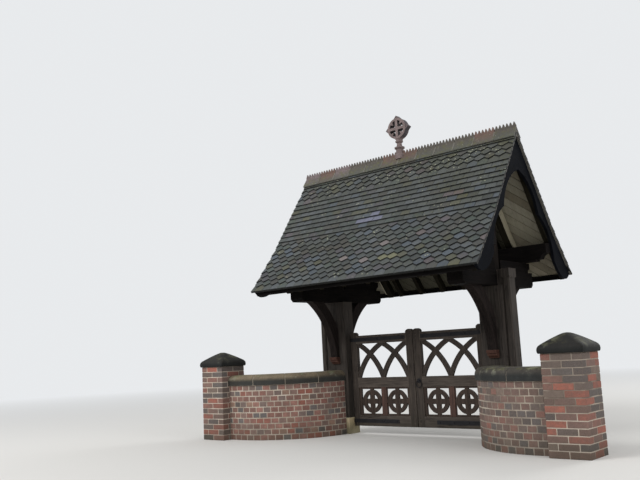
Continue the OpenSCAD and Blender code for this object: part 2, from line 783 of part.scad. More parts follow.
padstones();
put_left(weathered) main_post();  // left_post
put_right(weathered) main_post();  // right_post
outer_posts();
put_left(timber) cross_beam();  // left_beam
put_right(timber) cross_beam();  // right_beam
put_left(timber) brace_pair();  // left_braces
put_right(timber) brace_pair();  // right_braces
corbels();
put_left(timber) king_post();  // left_king_post
put_right(timber) king_post();  // right_king_post
put_left(timber) arm_pair();  // left_arms
put_right(timber) arm_pair();  // right_arms
wall_plates();
ridge_beam();
put_right(timber) mirror([0, 1, 0]) rafters();  // front_rafters
put_right(timber) rafters();  // back_rafters
put_right([0.55, 0.52, 0.41]) mirror([0, 1, 0]) boarding();  // front_boarding
put_right([0.55, 0.52, 0.41]) boarding();  // back_boarding
put_right(tile_brown) mirror([0, 1, 0]) tile_slope();  // front_tiles
put_right(tile_brown) tile_slope();  // back_tiles
ridge_tiles();
finial();
put_left(timber) gable_boards();  // left_bargeboards
put_right(timber) gable_boards();  // right_bargeboards
fascias();
put_left(brick) wing_wall();  // left_wing_wall
put_right(brick) wing_wall();  // right_wing_wall
put_left(slate_stone) coping();  // left_coping
put_right(slate_stone) coping();  // right_coping
put_left(brick) pier();  // left_pier
put_right(brick) pier();  // right_pier
pier_caps();
hinge_hooks();
put_left(timber) leaf_stiles();  // left_leaf_stiles
put_left(weathered) leaf_rails();  // left_leaf_rails
put_left(weathered) leaf_arches();  // left_leaf_arches
put_left(weathered) leaf_wheels();  // left_leaf_wheels
put_left(iron) leaf_straps();  // left_leaf_straps
put_right(timber) leaf_stiles();  // right_leaf_stiles
put_right(weathered) leaf_rails();  // right_leaf_rails
put_right(weathered) leaf_arches();  // right_leaf_arches
put_right(weathered) leaf_wheels();  // right_leaf_wheels
put_right(iron) leaf_straps();  // right_leaf_straps
latch();  // right_leaf_latch
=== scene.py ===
import bmesh
import bpy
import math
import random
from mathutils import Matrix, Vector


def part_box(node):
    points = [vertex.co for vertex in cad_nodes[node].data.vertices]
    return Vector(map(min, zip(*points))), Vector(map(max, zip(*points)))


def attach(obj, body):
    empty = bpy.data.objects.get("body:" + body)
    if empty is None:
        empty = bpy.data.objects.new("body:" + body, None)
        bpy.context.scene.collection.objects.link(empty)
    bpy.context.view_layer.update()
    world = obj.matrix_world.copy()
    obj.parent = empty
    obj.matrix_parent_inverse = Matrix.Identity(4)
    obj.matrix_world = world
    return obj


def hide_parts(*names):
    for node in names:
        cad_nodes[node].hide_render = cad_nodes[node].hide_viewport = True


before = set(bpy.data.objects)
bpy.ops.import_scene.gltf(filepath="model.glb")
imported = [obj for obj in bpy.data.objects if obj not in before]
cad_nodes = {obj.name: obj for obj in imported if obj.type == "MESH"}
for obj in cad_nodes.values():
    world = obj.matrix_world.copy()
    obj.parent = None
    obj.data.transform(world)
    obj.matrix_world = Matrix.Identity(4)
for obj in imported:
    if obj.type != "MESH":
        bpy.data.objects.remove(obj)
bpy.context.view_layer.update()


# Padstones
# Two squared blocks of pale limestone carry the posts, one on each side.
# A mason tooled their faces, and they keep the foot of the oak out of the wet.

def paint(code):
    """Turns a colour as it looks into the shares of light that it sends back."""
    parts = [int(code[i:i + 2], 16) / 255 for i in (0, 2, 4)]
    return [c / 12.92 if c <= 0.04045 else ((c + 0.055) / 1.055) ** 2.4 for c in parts] + [1.0]


def feed(socket, value):
    """Sets a socket to a value, or joins it to the socket that the value comes from."""
    if isinstance(value, bpy.types.NodeSocket):
        socket.id_data.links.new(value, socket)
    else:
        socket.default_value = value


def place_node(tree, kind, feeds=(), **settings):
    """Adds one shader node with its settings and what feeds its sockets."""
    node = tree.nodes.new("ShaderNode" + kind)
    for word, value in settings.items():
        setattr(node, word, value)
    for word, value in dict(feeds).items():
        feed(node.inputs[word], value)
    return node


def reckon(way, first, second=0.0, clamp=True):
    """A sum of two masks or numbers, one of them a mask, in the tree that the mask is from."""
    tree = (first if isinstance(first, bpy.types.NodeSocket) else second).id_data
    return place_node(tree, "Math", {0: first, 1: second}, operation=way, use_clamp=clamp).outputs[0]


def times(first, second):
    return reckon("MULTIPLY", first, second)


def plus(first, second):
    return reckon("ADD", first, second)


def between(value, low, high, start=0.0, end=1.0):
    """Rises from start to end while the value goes from low to high."""
    feeds = {"Value": value, "From Min": low, "From Max": high, "To Min": start, "To Max": end}
    return place_node(value.id_data, "MapRange", feeds).outputs["Result"]


def spot_of(tree):
    return place_node(tree, "TexCoord").outputs["Object"]


def spot_parts(tree):
    return place_node(tree, "SeparateXYZ", {0: spot_of(tree)}).outputs


def facing_up(tree):
    """How far the surface faces up, from -1 to 1."""
    facing = place_node(tree, "NewGeometry").outputs["Normal"]
    return place_node(tree, "SeparateXYZ", {0: facing}).outputs["Z"]


def clouds(spot, size, detail, ragged=0.5, bend=0.0):
    feeds = {"Vector": spot, "Scale": size, "Detail": detail, "Roughness": ragged, "Distortion": bend}
    return place_node(spot.id_data, "TexNoise", feeds).outputs["Fac"]


def specks(spot, size):
    return place_node(spot.id_data, "TexVoronoi", {"Vector": spot, "Scale": size}).outputs["Distance"]


def cover(share, under, over):
    """Lays one colour over another by a share that may change over the surface."""
    node = place_node(share.id_data, "Mix", data_type="RGBA")
    for index, value in ((0, share), (6, under), (7, over)):
        feed(node.inputs[index], value)
    return node.outputs[2]


def wash(colour, *layers):
    """Lays paints over a colour one after the other, each by a share of its mask."""
    for mask, share, code in layers:
        colour = cover(times(mask, share), colour, paint(code))
    return colour


def start_effect(name, takes, gives):
    """Starts a shared effect with its named inputs and outputs."""
    tree = bpy.data.node_groups.new(name, "ShaderNodeTree")
    for word, value in takes.items():
        kind = "NodeSocketVector" if isinstance(value, tuple) else "NodeSocketFloat"
        tree.interface.new_socket(word, in_out="INPUT", socket_type=kind).default_value = value
    for word in gives:
        tree.interface.new_socket(word, in_out="OUTPUT", socket_type="NodeSocketFloat")
    return tree, tree.nodes.new("NodeGroupInput").outputs, tree.nodes.new("NodeGroupOutput").inputs


def apply_effect(tree, effect, **values):
    node = tree.nodes.new("ShaderNodeGroup")
    node.node_tree = effect
    for word, value in values.items():
        feed(node.inputs[word], value)
    return node.outputs


def start_finish(name, shine):
    """Starts a material and hands it back with its tree and its surface."""
    finish = bpy.data.materials.new(name)
    finish.use_nodes = True
    surface = finish.node_tree.nodes["Principled BSDF"]
    surface.inputs["Specular IOR Level"].default_value = shine
    return finish, finish.node_tree, surface


def end_finish(surface, colour, mask, smooth, rough, height, depth, strength=1.0):
    """Joins the colour, a roughness that follows a mask, and the relief to the surface."""
    feed(surface.inputs["Base Color"], colour)
    feed(surface.inputs["Roughness"], between(mask, 0.0, 1.0, smooth, rough))
    bump = place_node(mask.id_data, "Bump", {"Height": height, "Distance": depth, "Strength": strength})
    feed(surface.inputs["Normal"], bump.outputs["Normal"])


# Mottle gives broad and fine patches that are not the same twice
mottle, takes, gives = start_effect("Mottle", {"Size": 3.0, "Shift": 0.0}, ["Broad", "Fine", "Pits"])
spot = place_node(mottle, "VectorMath", {0: spot_of(mottle), 1: takes["Shift"]}, operation="ADD").outputs[0]
close = reckon("MULTIPLY", takes["Size"], 11.0, clamp=False)
feed(gives["Broad"], between(clouds(spot, takes["Size"], 3.0), 0.33, 0.67))
feed(gives["Fine"], between(clouds(spot, close, 7.0, 0.7), 0.3, 0.7))
feed(gives["Pits"], between(specks(spot, close), 0.1, 0.35))

# Worn edge finds the arrises, where hands and weather rub the surface
worn_edge, takes, gives = start_effect("Worn edge", {"Reach": 0.01}, ["Edge"])
facing = place_node(worn_edge, "NewGeometry").outputs["Normal"]
eased = place_node(worn_edge, "Bevel", {"Radius": takes["Reach"]}, samples=6).outputs[0]
turned = place_node(worn_edge, "VectorMath", {0: facing, 1: eased}, operation="DOT_PRODUCT")
feed(gives["Edge"], between(turned.outputs["Value"], 0.99, 0.8))

# Rising damp darkens and greens the foot of walls and posts
rising_damp, takes, gives = start_effect("Rising damp", {"Ground": 0.0, "Reach": 0.4}, ["Damp"])
above = reckon("SUBTRACT", spot_parts(rising_damp)["Z"], takes["Ground"], clamp=False)
above = reckon("DIVIDE", above, takes["Reach"], clamp=False)
ragged = clouds(spot_of(rising_damp), 5.0, 5.0)
above = reckon("ADD", above, ragged, clamp=False)
feed(gives["Damp"], between(above, 1.3, 0.5))

# Moss grows in clumps on what faces up
moss, takes, gives = start_effect("Moss", {"Amount": 0.5, "Size": 9.0}, ["Moss", "Clump"])
clump = clouds(spot_of(moss), takes["Size"], 6.0, 0.65)
grown = times(clump, between(facing_up(moss), -0.1, 0.8, 0.25, 1.0))
edge = reckon("SUBTRACT", 1.0, takes["Amount"], clamp=False)
full = reckon("ADD", edge, 0.12, clamp=False)
feed(gives["Moss"], between(grown, edge, full))
feed(gives["Clump"], clump)

gateway_ground = 0.09
pad_finish, tree, surface = start_finish("Pale limestone", 0.3)
patch = apply_effect(tree, mottle, Size=4.0)
edge = apply_effect(tree, worn_edge, Reach=0.012)["Edge"]
damp = apply_effect(tree, rising_damp, Ground=gateway_ground, Reach=0.16)["Damp"]
colour = wash(paint("c2b08b"), (patch["Broad"], 1.0, "d9cba9"), (patch["Fine"], 0.45, "94866a"),
              (edge, 0.5, "e2d8bd"), (damp, 0.7, "5d5a44"))
tooled = plus(patch["Fine"], times(patch["Pits"], 0.4))
end_finish(surface, colour, patch["Fine"], 0.75, 0.95, tooled, 0.004)


def dress(finish, ease, *nodes):
    """Gives CAD pieces their finish and eases their sharp arrises."""
    for node in nodes:
        piece = cad_nodes[node]
        piece.data.materials.clear()
        piece.data.materials.append(finish)
        rounding = piece.modifiers.new("Eased arrises", "BEVEL")
        rounding.width = ease
        rounding.segments = 2
        rounding.limit_method = "ANGLE"
        rounding.angle_limit = math.radians(30)


dress(pad_finish, 0.012, "padstones")


# Main and outer posts
# Each side has a heavy oak post with a thinner one beside it, a narrow groove between them.
# They were sawn square, stained dark and have weathered to grey brown with long drying cracks.

middle_y = sum(corner.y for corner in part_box("left_post")) / 2


def off_middle(parts):
    """How far a point lies before or behind the middle of the posts."""
    depth = reckon("SUBTRACT", parts["Y"], middle_y, clamp=False)
    return reckon("ABSOLUTE", depth, clamp=False)


# Oak grain runs along one way of a timber, with darker streaks and drying cracks
oak_grain, takes, gives = start_effect(
    "Oak grain", {"Stretch": (26.0, 26.0, 1.3), "Turn": 0.0, "Split": 0.5}, ["Streak", "Crack", "Blotch"])
parts = spot_parts(oak_grain)
spot = {"X": parts["X"], "Y": off_middle(parts), "Z": parts["Z"]}
spot = place_node(oak_grain, "CombineXYZ", spot).outputs[0]
spot = place_node(oak_grain, "VectorRotate", {"Vector": spot, "Angle": takes["Turn"]},
                  rotation_type="X_AXIS").outputs[0]
drawn = place_node(oak_grain, "VectorMath", {0: spot, 1: takes["Stretch"]}, operation="MULTIPLY").outputs[0]
streak = clouds(drawn, 2.2, 7.0, 0.62, 0.3)
feed(gives["Streak"], between(streak, 0.33, 0.67))
blotch = clouds(spot, 2.4, 3.0)
feed(gives["Blotch"], between(blotch, 0.35, 0.65))
vein = reckon("SUBTRACT", clouds(drawn, 0.75, 2.0, bend=0.4), 0.5, clamp=False)
vein = reckon("ABSOLUTE", vein, clamp=False)
dry = times(between(blotch, 0.42, 0.55), takes["Split"])
feed(gives["Crack"], times(between(vein, 0.0, 0.016, 1.0, 0.0), dry))

upright = (26.0, 26.0, 1.3)
along_ridge = (1.3, 26.0, 26.0)
through_gate = (26.0, 1.3, 26.0)


def oak_finish(name, dark, light, worn, stretch, turn=0.0, split=0.8, damp_to=0.0, shine=0.12):
    """Stained oak whose grain runs along the stretch, with cracks, rubbed arrises and a wet foot."""
    finish, tree, surface = start_finish(name, shine)
    grain = apply_effect(tree, oak_grain, Stretch=stretch, Turn=turn, Split=split)
    edge = apply_effect(tree, worn_edge, Reach=0.008)["Edge"]
    colour = wash(paint(dark), (grain["Streak"], 1.0, light), (grain["Blotch"], 0.35, dark),
                  (edge, 0.55, worn))
    if damp_to:
        damp = apply_effect(tree, rising_damp, Ground=gateway_ground, Reach=damp_to)["Damp"]
        colour = wash(colour, (damp, 0.55, "2c2b22"))
    colour = wash(colour, (grain["Crack"], 1.0, "0e0c0b"))
    height = reckon("SUBTRACT", times(grain["Streak"], 0.3), grain["Crack"], clamp=False)
    end_finish(surface, colour, grain["Streak"], 0.62, 0.82, height, 0.004, 0.8)
    return finish


post_finish = oak_finish("Weathered oak posts", "2b2825", "4f4843", "6c635b", upright, damp_to=0.5)
dress(post_finish, 0.005, "left_post", "right_post", "outer_posts")


# Cross beams, braces and corbels
# Over each post lies a thick oak beam held by four curved braces, cut from bent wood.
# The braces spring from small stepped corbels that keep more of their red stain.

beam_finish = oak_finish("Dark oak beams", "0e0d0d", "1c1918", "2c2724", through_gate, shine=0.02)
brace_finish = oak_finish("Dark oak braces", "191615", "322b29", "4b433e", upright, turn=0.45, shine=0.04)
corbel_finish = oak_finish("Red oak corbels", "3d2721", "5e4238", "74584b", through_gate, split=0.2)
dress(beam_finish, 0.006, "left_beam", "right_beam")
dress(brace_finish, 0.008, "left_braces", "right_braces")
dress(corbel_finish, 0.004, "corbels")


# King posts, tie arms, wall plates and ridge beam
# A square king post stands on each cross beam and carries the ridge beam.
# Tie arms lie on the cross beams and carry the wall plates, whose ends are hollowed out.

king_finish = oak_finish("Dark oak king posts", "141211", "27221f", "3d3632", upright, shine=0.03)
plate_finish = oak_finish("Dark oak plates", "0f0e0e", "1f1c1b", "352f2c", along_ridge, shine=0.02)
dress(king_finish, 0.004, "left_king_post", "right_king_post")
dress(beam_finish, 0.005, "left_arms", "right_arms")
dress(plate_finish, 0.005, "wall_plates", "ridge_beam")


# Rafters
# Sawn oak rafters follow the swept slope from the ridge beam over the wall plates to the eaves.
# They are spiked to the plates, and stained like the rest of the frame.

pitch_foot = math.radians(50.5)
pitch_top = math.radians(55.5)
mean_pitch = (pitch_foot + pitch_top) / 2
slope_finish = oak_finish("Dark oak on the slope", "15130f", "2b281f", "413c32", through_gate, mean_pitch,
                          shine=0.02)
dress(slope_finish, 0.004, "front_rafters", "back_rafters")


# Boarding
# Pale sawn boards are nailed slantwise over the rafters, and dark felt lies over them.
# A fillet covers their ends at each bargeboard, and a pale board lines each principal rafter.

foot_len = 0.78
sweep_r = 2.5
bend_len = sweep_r * (pitch_top - pitch_foot)
tile_depth = 0.045
board_depth = 0.022
board_trim = 0.026
board_under = tile_depth + board_depth
tiles_low, tiles_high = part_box("back_tiles")
roof_x = tiles_high.x
gable_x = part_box("right_bargeboards")[0].x
eaves_y = tiles_high.y - middle_y
eaves_z = tiles_low.z + tile_depth * math.cos(pitch_foot)
bend_y = eaves_y - foot_len * math.cos(pitch_foot) + sweep_r * math.sin(pitch_foot)
bend_z = eaves_z + foot_len * math.sin(pitch_foot) + sweep_r * math.cos(pitch_foot)
top_of_bend = bend_y - sweep_r * math.sin(pitch_top)
slope_len = foot_len + bend_len + top_of_bend / math.cos(pitch_top)


def on_roof(side, x, run, depth):
    """A point so far up the slope from the tile edge, and so deep below the top of the tiles."""
    turn = min(max(run - foot_len, 0.0), bend_len)
    pitch = pitch_foot + turn / sweep_r
    straight = min(run - foot_len, 0.0) + max(run - foot_len - bend_len, 0.0)
    y = bend_y - (sweep_r + depth) * math.sin(pitch) - straight * math.cos(pitch)
    z = bend_z - (sweep_r + depth) * math.cos(pitch) + straight * math.sin(pitch)
    return Vector((x, middle_y + side * y, z))


def top_run(depth):
    """How far up the slope a layer at this depth reaches the middle of the roof."""
    return slope_len - depth * math.tan(pitch_top)


def shape_piece(name, corners, panels, finish, tints=(), weld=False):
    """Makes one piece from its points and faces, with a tint for each point where it has one."""
    mesh = bpy.data.meshes.new(name)
    mesh.from_pydata(corners, [], panels)
    if tints:
        shade = mesh.color_attributes.new("tint", "FLOAT_COLOR", "POINT")
        shade.data.foreach_set("color", [part for tint in tints for part in tint])
    form = bmesh.new()
    form.from_mesh(mesh)
    if weld:
        bmesh.ops.remove_doubles(form, verts=form.verts, dist=1e-5)
    bmesh.ops.recalc_face_normals(form, faces=form.faces)
    form.to_mesh(mesh)
    form.free()
    mesh.materials.append(finish)
    piece = bpy.data.objects.new(name, mesh)
    bpy.context.scene.collection.objects.link(piece)
    return piece


def tint_of(tree, output="Color"):
    return place_node(tree, "Attribute", attribute_name="tint").outputs[output]


def vary(colour, draw, amount):
    """A colour a little lighter or darker than it was, by the draw."""
    factor = 1 + draw.uniform(-amount, amount)
    return [min(1.0, part * factor) for part in colour[:3]] + [1.0]


def skin(rings, capped=True):
    """Joins rings of points to one sheath of faces, with a cap at each end."""
    sides = len(rings[0])
    corners = [point for ring in rings for point in ring]
    panels = [[at + i, at + (i + 1) % sides, at + sides + (i + 1) % sides, at + sides + i]
              for at in range(0, len(corners) - sides, sides) for i in range(sides)]
    if capped:
        panels += [list(range(sides)), list(range(len(corners) - sides, len(corners)))]
    return corners, panels


def add_part(corners, panels, part):
    """Adds the points and faces of one more part to those of a piece."""
    panels += [[len(corners) + i for i in panel] for panel in part[1]]
    corners += part[0]


def join_parts(parts):
    corners, panels = [], []
    for part in parts:
        add_part(corners, panels, part)
    return corners, panels


def slanted_board(start, width, low_x, high_x, low_run, high_run):
    """Outlines of one slanting board, cut off at the edges of its slope and along its bend."""
    board = bmesh.new()
    lean = high_run - low_run
    outline = [(start, low_run), (start + width, low_run), (start + width - lean, high_run),
               (start - lean, high_run)]
    board.faces.new([board.verts.new((x, run, 0)) for x, run in outline])
    cuts = [((low_x, 0, 0), (-1, 0, 0), True), ((high_x, 0, 0), (1, 0, 0), True)]
    cuts += [((0, foot_len + bend_len * cut / 4, 0), (0, 1, 0), False) for cut in range(5)]
    for point, way, trim in cuts:
        bmesh.ops.bisect_plane(board, geom=board.verts[:] + board.edges[:] + board.faces[:], dist=1e-6,
                               plane_co=point, plane_no=way, clear_outer=trim)
    outlines = [[(v.co.x, v.co.y) for v in face.verts] for face in board.faces]
    board.free()
    return outlines


board_pitch = 0.172
board_gap = 0.013
board_side_gap = 0.002
board_shade = 0.08
# Painted shade darkens the boards to brown between the end frames, less so at the left gable, and not at the
# right one, where they stay pale
painted_shade_edge, painted_shade_full = 1.4, 1.2
# Their feet at the eaves are black
foot_run = 0.05
foot_fade = 0.012
board_colours = [paint("908b7a"), paint("837d6c"), paint("9a9585"), paint("776f5e"), paint("8b8372")]

board_finish, tree, surface = start_finish("Pale boards", 0.25)
grain = apply_effect(tree, oak_grain, Stretch=(14.0, 3.0, 14.0), Turn=pitch_foot, Split=0.3)
patch = apply_effect(tree, mottle, Size=2.5)
parts = spot_parts(tree)
# Painted shade: the olive brown laid over the boards stands in for the shade under the roof
painted_shade_under_roof = times(between(parts["X"], painted_shade_edge, painted_shade_full),
                  between(parts["X"], -painted_shade_edge, -painted_shade_full, 0.5, 0.85))
foot_z = on_roof(1, 0, foot_run, board_under).z
black_foot = between(parts["Z"], foot_z + foot_fade, foot_z)
colour = wash(tint_of(tree), (grain["Streak"], 0.35, "5c5748"), (patch["Broad"], 0.3, "9c9786"),
              (grain["Crack"], 0.7, "2e2a20"), (painted_shade_under_roof, 1.0, "38372a"), (black_foot, 1.0, "151312"))
end_finish(surface, colour, patch["Fine"], 0.65, 0.85, grain["Streak"], 0.002, 0.6)

for side, name in ((-1, "front"), (1, "back")):
    draw = random.Random(11 + side)
    corners, panels, tints = [], [], []
    high_run = top_run(board_under) - board_side_gap
    start = -gable_x
    while start < gable_x + high_run:
        shade = vary(draw.choice(board_colours), draw, board_shade)
        for outline in slanted_board(start, board_pitch - board_gap, board_side_gap - gable_x,
                                     gable_x - board_side_gap, board_trim, high_run):
            faces = [[on_roof(side, x, run, depth) for x, run in outline]
                     for depth in (tile_depth + 0.001, board_under)]
            add_part(corners, panels, skin(faces))
            tints += [shade] * 2 * len(outline)
        start += board_pitch
    boards = shape_piece(name + "_boards", corners, panels, board_finish, tints)
    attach(boards, "structure")
    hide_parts(name + "_boarding")


def roof_strip(side, low_x, high_x, low_run, high_run, low_depth, high_depth, steps=26):
    """A straight strip of wood or mortar that lies up the slope."""
    section = ((low_x, low_depth), (high_x, low_depth), (high_x, high_depth), (low_x, high_depth))
    runs = [low_run + (high_run - low_run) * step / steps for step in range(steps + 1)]
    return skin([[on_roof(side, x, run, depth) for x, depth in section] for run in runs])


fillet_w = 0.028
fillet_t = 0.016
fillet_low = 0.1
fillet_high = top_run(board_under + fillet_t) - 0.06
lining_t = 0.018
rafter_deep = 0.098
barge_back = 0.071
principal_x = 1.271
rafter_half = 0.0525
lining_x = principal_x + rafter_half + 0.001
fillet_finish, tree, surface = start_finish("Pale fillets", 0.25)
grain = apply_effect(tree, oak_grain, Stretch=(26.0, 1.5, 26.0), Turn=pitch_top, Split=0.2)
feed(surface.inputs["Base Color"], wash(paint("b2ab96"), (grain["Streak"], 1.0, "9a927d")))
feed(surface.inputs["Roughness"], between(grain["Blotch"], 0.0, 1.0, 0.6, 0.8))
strips = []
for side in (-1, 1):
    for left in (-1, 1):
        for near, wide, deep in ((lining_x, lining_t, rafter_deep),
                                 (gable_x - barge_back - fillet_w, fillet_w, fillet_t)):
            edges = sorted((left * near, left * (near + wide)))
            strips.append(roof_strip(side, *edges, fillet_low, fillet_high, board_under, board_under + deep))
fillets = shape_piece("soffit_fillets", *join_parts(strips), fillet_finish)
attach(fillets, "structure")
felt_half = gable_x - 0.003
felt_low = 0.1
felt_high = top_run(tile_depth) - 0.01
felt_lift = 0.0015
felt_sag = 0.0008
strips = [roof_strip(side, -felt_half, felt_half, felt_low, felt_high, tile_depth - felt_lift,
                     tile_depth + felt_sag) for side in (-1, 1)]
felt = shape_piece("dark_felt", *join_parts(strips), slope_finish)
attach(felt, "structure")


# Tiles
# Small clay tiles hang on battens in lapped courses, each course half a tile aside of the last.
# Ten courses above the eaves and three below the ridge have pointed tails, the rest are plain.

tile_columns = 24
tile_w = 2 * roof_x / tile_columns
tile_t = 0.0145
tile_side_gap = 0.005
tile_len = 0.172
tile_gauge = 0.098
tile_slant = tile_t / tile_gauge
tile_camber = 0.0018
tile_lift = 0.002
tile_skew = 0.002
tile_stray = 0.0025
point_len = 0.052
tile_shade = 0.2
under_ridge = 0.05
pointed_gauge = 0.0957
plain_gauge = 0.1
# Each course from the eaves up: how far up the slope it starts, and how long its points are
courses = [(0.0, 0.0), (0.004, 0.0)]
courses += [(0.098 + pointed_gauge * i, point_len) for i in range(10)]
courses += [(1.055 + plain_gauge * i, 0.0) for i in range(9)]
courses += [(1.955 + plain_gauge * i, point_len) for i in range(3)]
courses += [(2.255, 0.0), (2.345, 0.0)]
ridge_foot = (2.43, 0.0)
tile_colours = {"50534f": 8, "555958": 8, "4a4e4a": 7, "595d60": 6, "545155": 3, "4e4c47": 5, "5a5947": 3,
                "4b534d": 4, "434645": 5, "60565a": 1, "545c65": 4}
# The alpha of a tile's tint is this much more than the distance below the tail of the tile above
lap_zero = 0.5
# Tiles put in at repairs on the front slope, by their colour and their place along it and up it
pale_clay, mossy_clay, blue_clay, brown_clay = "8a7f7d", "807f63", "828499", "6f6362"
odd_tiles = {
    (-0.35, 0.40): pale_clay, (0.07, 0.30): pale_clay, (0.30, 0.64): pale_clay, (0.35, 0.34): mossy_clay,
    (0.56, 0.34): mossy_clay, (1.90, 0.47): brown_clay, (0.86, 0.72): brown_clay, (1.25, 1.36): brown_clay,
    (-0.16, 1.30): blue_clay, (-0.28, 1.22): blue_clay, (-0.06, 1.19): blue_clay, (-0.18, 1.20): blue_clay}


def bond_edges(start, step, count, end, course):
    """The joints of one course, which lie half a tile or brick aside in every other course."""
    edges = [start + i * step for i in range(count + 1)]
    return [start] + [edge + step / 2 for edge in edges[:-1]] + [end] if course % 2 else edges


tile_finish, tree, surface = start_finish("Weathered clay tiles", 0.28)
patch = apply_effect(tree, mottle, Size=1.6)
grit = apply_effect(tree, mottle, Size=14.0, Shift=3.0)
edge = apply_effect(tree, worn_edge, Reach=0.004)["Edge"]
growth = apply_effect(tree, moss, Amount=0.5, Size=16.0)
spot = spot_of(tree)
parts = spot_parts(tree)
# Moss gains higher up the slope and to the right, and spots of pale lichen lie more near the ridge
leafy = times(between(parts["Z"], 2.9, 4.1), between(parts["X"], -1.9, 1.6, 0.35, 1.0))
green = times(growth["Moss"], plus(times(leafy, 0.7), 0.2))
high_up = times(between(parts["Z"], 3.6, 4.05), 0.13)
thin = between(plus(clouds(spot, 4.0, 3.0), high_up), 0.57, 0.64)
lichen = times(between(specks(spot, 19.0), 0.27, 0.13), thin)
# Dirt, damp and a painted shadow darken the lap, just below the tail of the tile above
lap = between(tint_of(tree, "Alpha"), lap_zero + 0.024, lap_zero + 0.009)
# Painted shade darkens the tail edges and the other faces of a tile that do not face up
shaded_tail_edge = between(facing_up(tree), 0.42, 0.2)
colour = wash(tint_of(tree), (grit["Fine"], 0.62, "2c2d29"), (patch["Broad"], 0.3, "585e64"),
              (leafy, 0.38, "4c4a36"), (green, 1.0, "5d5c35"), (lichen, 0.8, "a9aa92"),
              (edge, 0.2, "7b7d79"), (lap, 0.93, "1c1d1b"), (shaded_tail_edge, 0.88, "131413"))
end_finish(surface, colour, grit["Fine"], 0.55, 0.85, plus(grit["Fine"], green), 0.003, 0.7)


def lay_tile(side, low_x, high_x, run, point, lean, lap, depth, draw):
    """One tile: it tapers down to its tail, hollows a little and tilts over the tile below."""
    over_run, over_point = lap
    tails = {0: (point, 0.0, point), 1: (0.0, point / 2, point), -1: (point, point / 2, 0.0)}[lean]
    full, half, bare = over_run + over_point, over_run + over_point / 2, over_run
    laps = {0: (bare, full, bare), 1: (full, half, bare), -1: (bare, half, full)}[lean]
    lift = draw.uniform(0.0, tile_lift)
    skew = draw.uniform(-tile_skew, tile_skew)
    length = min(tile_len, slope_len - under_ridge - run)
    lines = ((low_x, tile_camber, skew), ((low_x + high_x) / 2, 0.0, 0.0), (high_x, tile_camber, -skew))
    corners, below = [], []
    for thick in (0.0, tile_t):
        for (x, bow, tip), tail, above in zip(lines, tails, laps):
            down = depth + thick + bow + tile_lift - lift
            corners.append(on_roof(side, x, run + tail + tip, down + (tail + tip) * tile_slant))
            corners.append(on_roof(side, x, run + length, down + length * tile_slant))
            below += [above - tail + lap_zero, above - length + lap_zero]
    panels = [[0, 2, 3, 1], [2, 4, 5, 3], [6, 7, 9, 8], [8, 9, 11, 10], [0, 6, 8, 2], [2, 8, 10, 4],
              [1, 3, 9, 7], [3, 5, 11, 9], [0, 1, 7, 6], [4, 10, 11, 5]]
    return (corners, panels), below


for side, name in ((-1, "front"), (1, "back")):
    draw = random.Random(29 + side)
    shades = [paint(code) for code in tile_colours]
    weights = list(tile_colours.values())
    corners, panels, tints = [], [], []
    for course, (run, point) in enumerate(courses):
        edges = bond_edges(-roof_x, tile_w, tile_columns, roof_x, course)
        depth = tile_t if course == 0 else 0.0
        over_run, over_point = (courses + [ridge_foot])[course + 1]
        for i in range(len(edges) - 1):
            low_x = edges[i] + tile_side_gap / 2 * (i > 0)
            high_x = edges[i + 1] - tile_side_gap / 2 * (i < len(edges) - 2)
            half = high_x - low_x < 0.7 * tile_w
            lean = (1 if i == 0 else -1) if half and (point or over_point) else 0
            at = run + draw.uniform(-tile_stray, tile_stray) if course > 1 else run
            lap = (over_run - at, over_point)
            tile, below = lay_tile(side, low_x, high_x, at, point, lean, lap, depth, draw)
            shade = vary(draw.choices(shades, weights)[0], draw, tile_shade)
            for (x, up), code in odd_tiles.items():
                if side < 0 and low_x <= x < high_x and at <= up < at + tile_gauge:
                    shade = paint(code)
            add_part(corners, panels, tile)
            tints += [shade[:3] + [share] for share in below]
    slope = shape_piece(name + "_tiling", corners, panels, tile_finish, tints)
    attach(slope, "structure")
    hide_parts(name + "_tiles")

# Each verge is bedded in lime mortar on an undercloak, a tilting fillet lifts the eaves, and packing
# fills the wedge over each fascia
mortar_finish, tree, surface = start_finish("Lime mortar", 0.2)
patch = apply_effect(tree, mottle, Size=5.0)
worn = apply_effect(tree, mottle, Size=3.2, Shift=5.0)
damp = apply_effect(tree, rising_damp, Ground=0.0, Reach=0.45)["Damp"]
parts = spot_parts(tree)
# Much of the mortar is dirty, more so in the right wall, but low on the right pier it is cleaner
dirty = plus(times(worn["Broad"], 0.6), between(parts["X"], 0.5, 1.8, 0.0, 0.35))
pointed = times(between(parts["Z"], 0.62, 0.38), between(parts["X"], 2.6, 2.68))
dirty = times(dirty, between(pointed, 0.0, 1.0, 1.0, 0.25))
colour = wash(paint("e0d4c5"), (patch["Broad"], 1.0, "cabdab"), (patch["Fine"], 0.4, "867a6b"),
              (dirty, 1.0, "655a51"), (damp, 0.4, "5a554c"))
end_finish(surface, colour, patch["Fine"], 0.85, 1.0, plus(patch["Fine"], patch["Pits"]), 0.003)

verge_finish, tree, surface = start_finish("Weathered verge mortar", 0.2)
patch = apply_effect(tree, mottle, Size=7.0)
growth = apply_effect(tree, moss, Amount=0.6, Size=12.0)
colour = wash(paint("4d4b48"), (patch["Broad"], 1.0, "6f6c66"), (patch["Pits"], 0.3, "8d8a80"),
              (growth["Moss"], 0.6, "4b4a30"))
end_finish(surface, colour, patch["Fine"], 0.85, 1.0, patch["Fine"], 0.005)

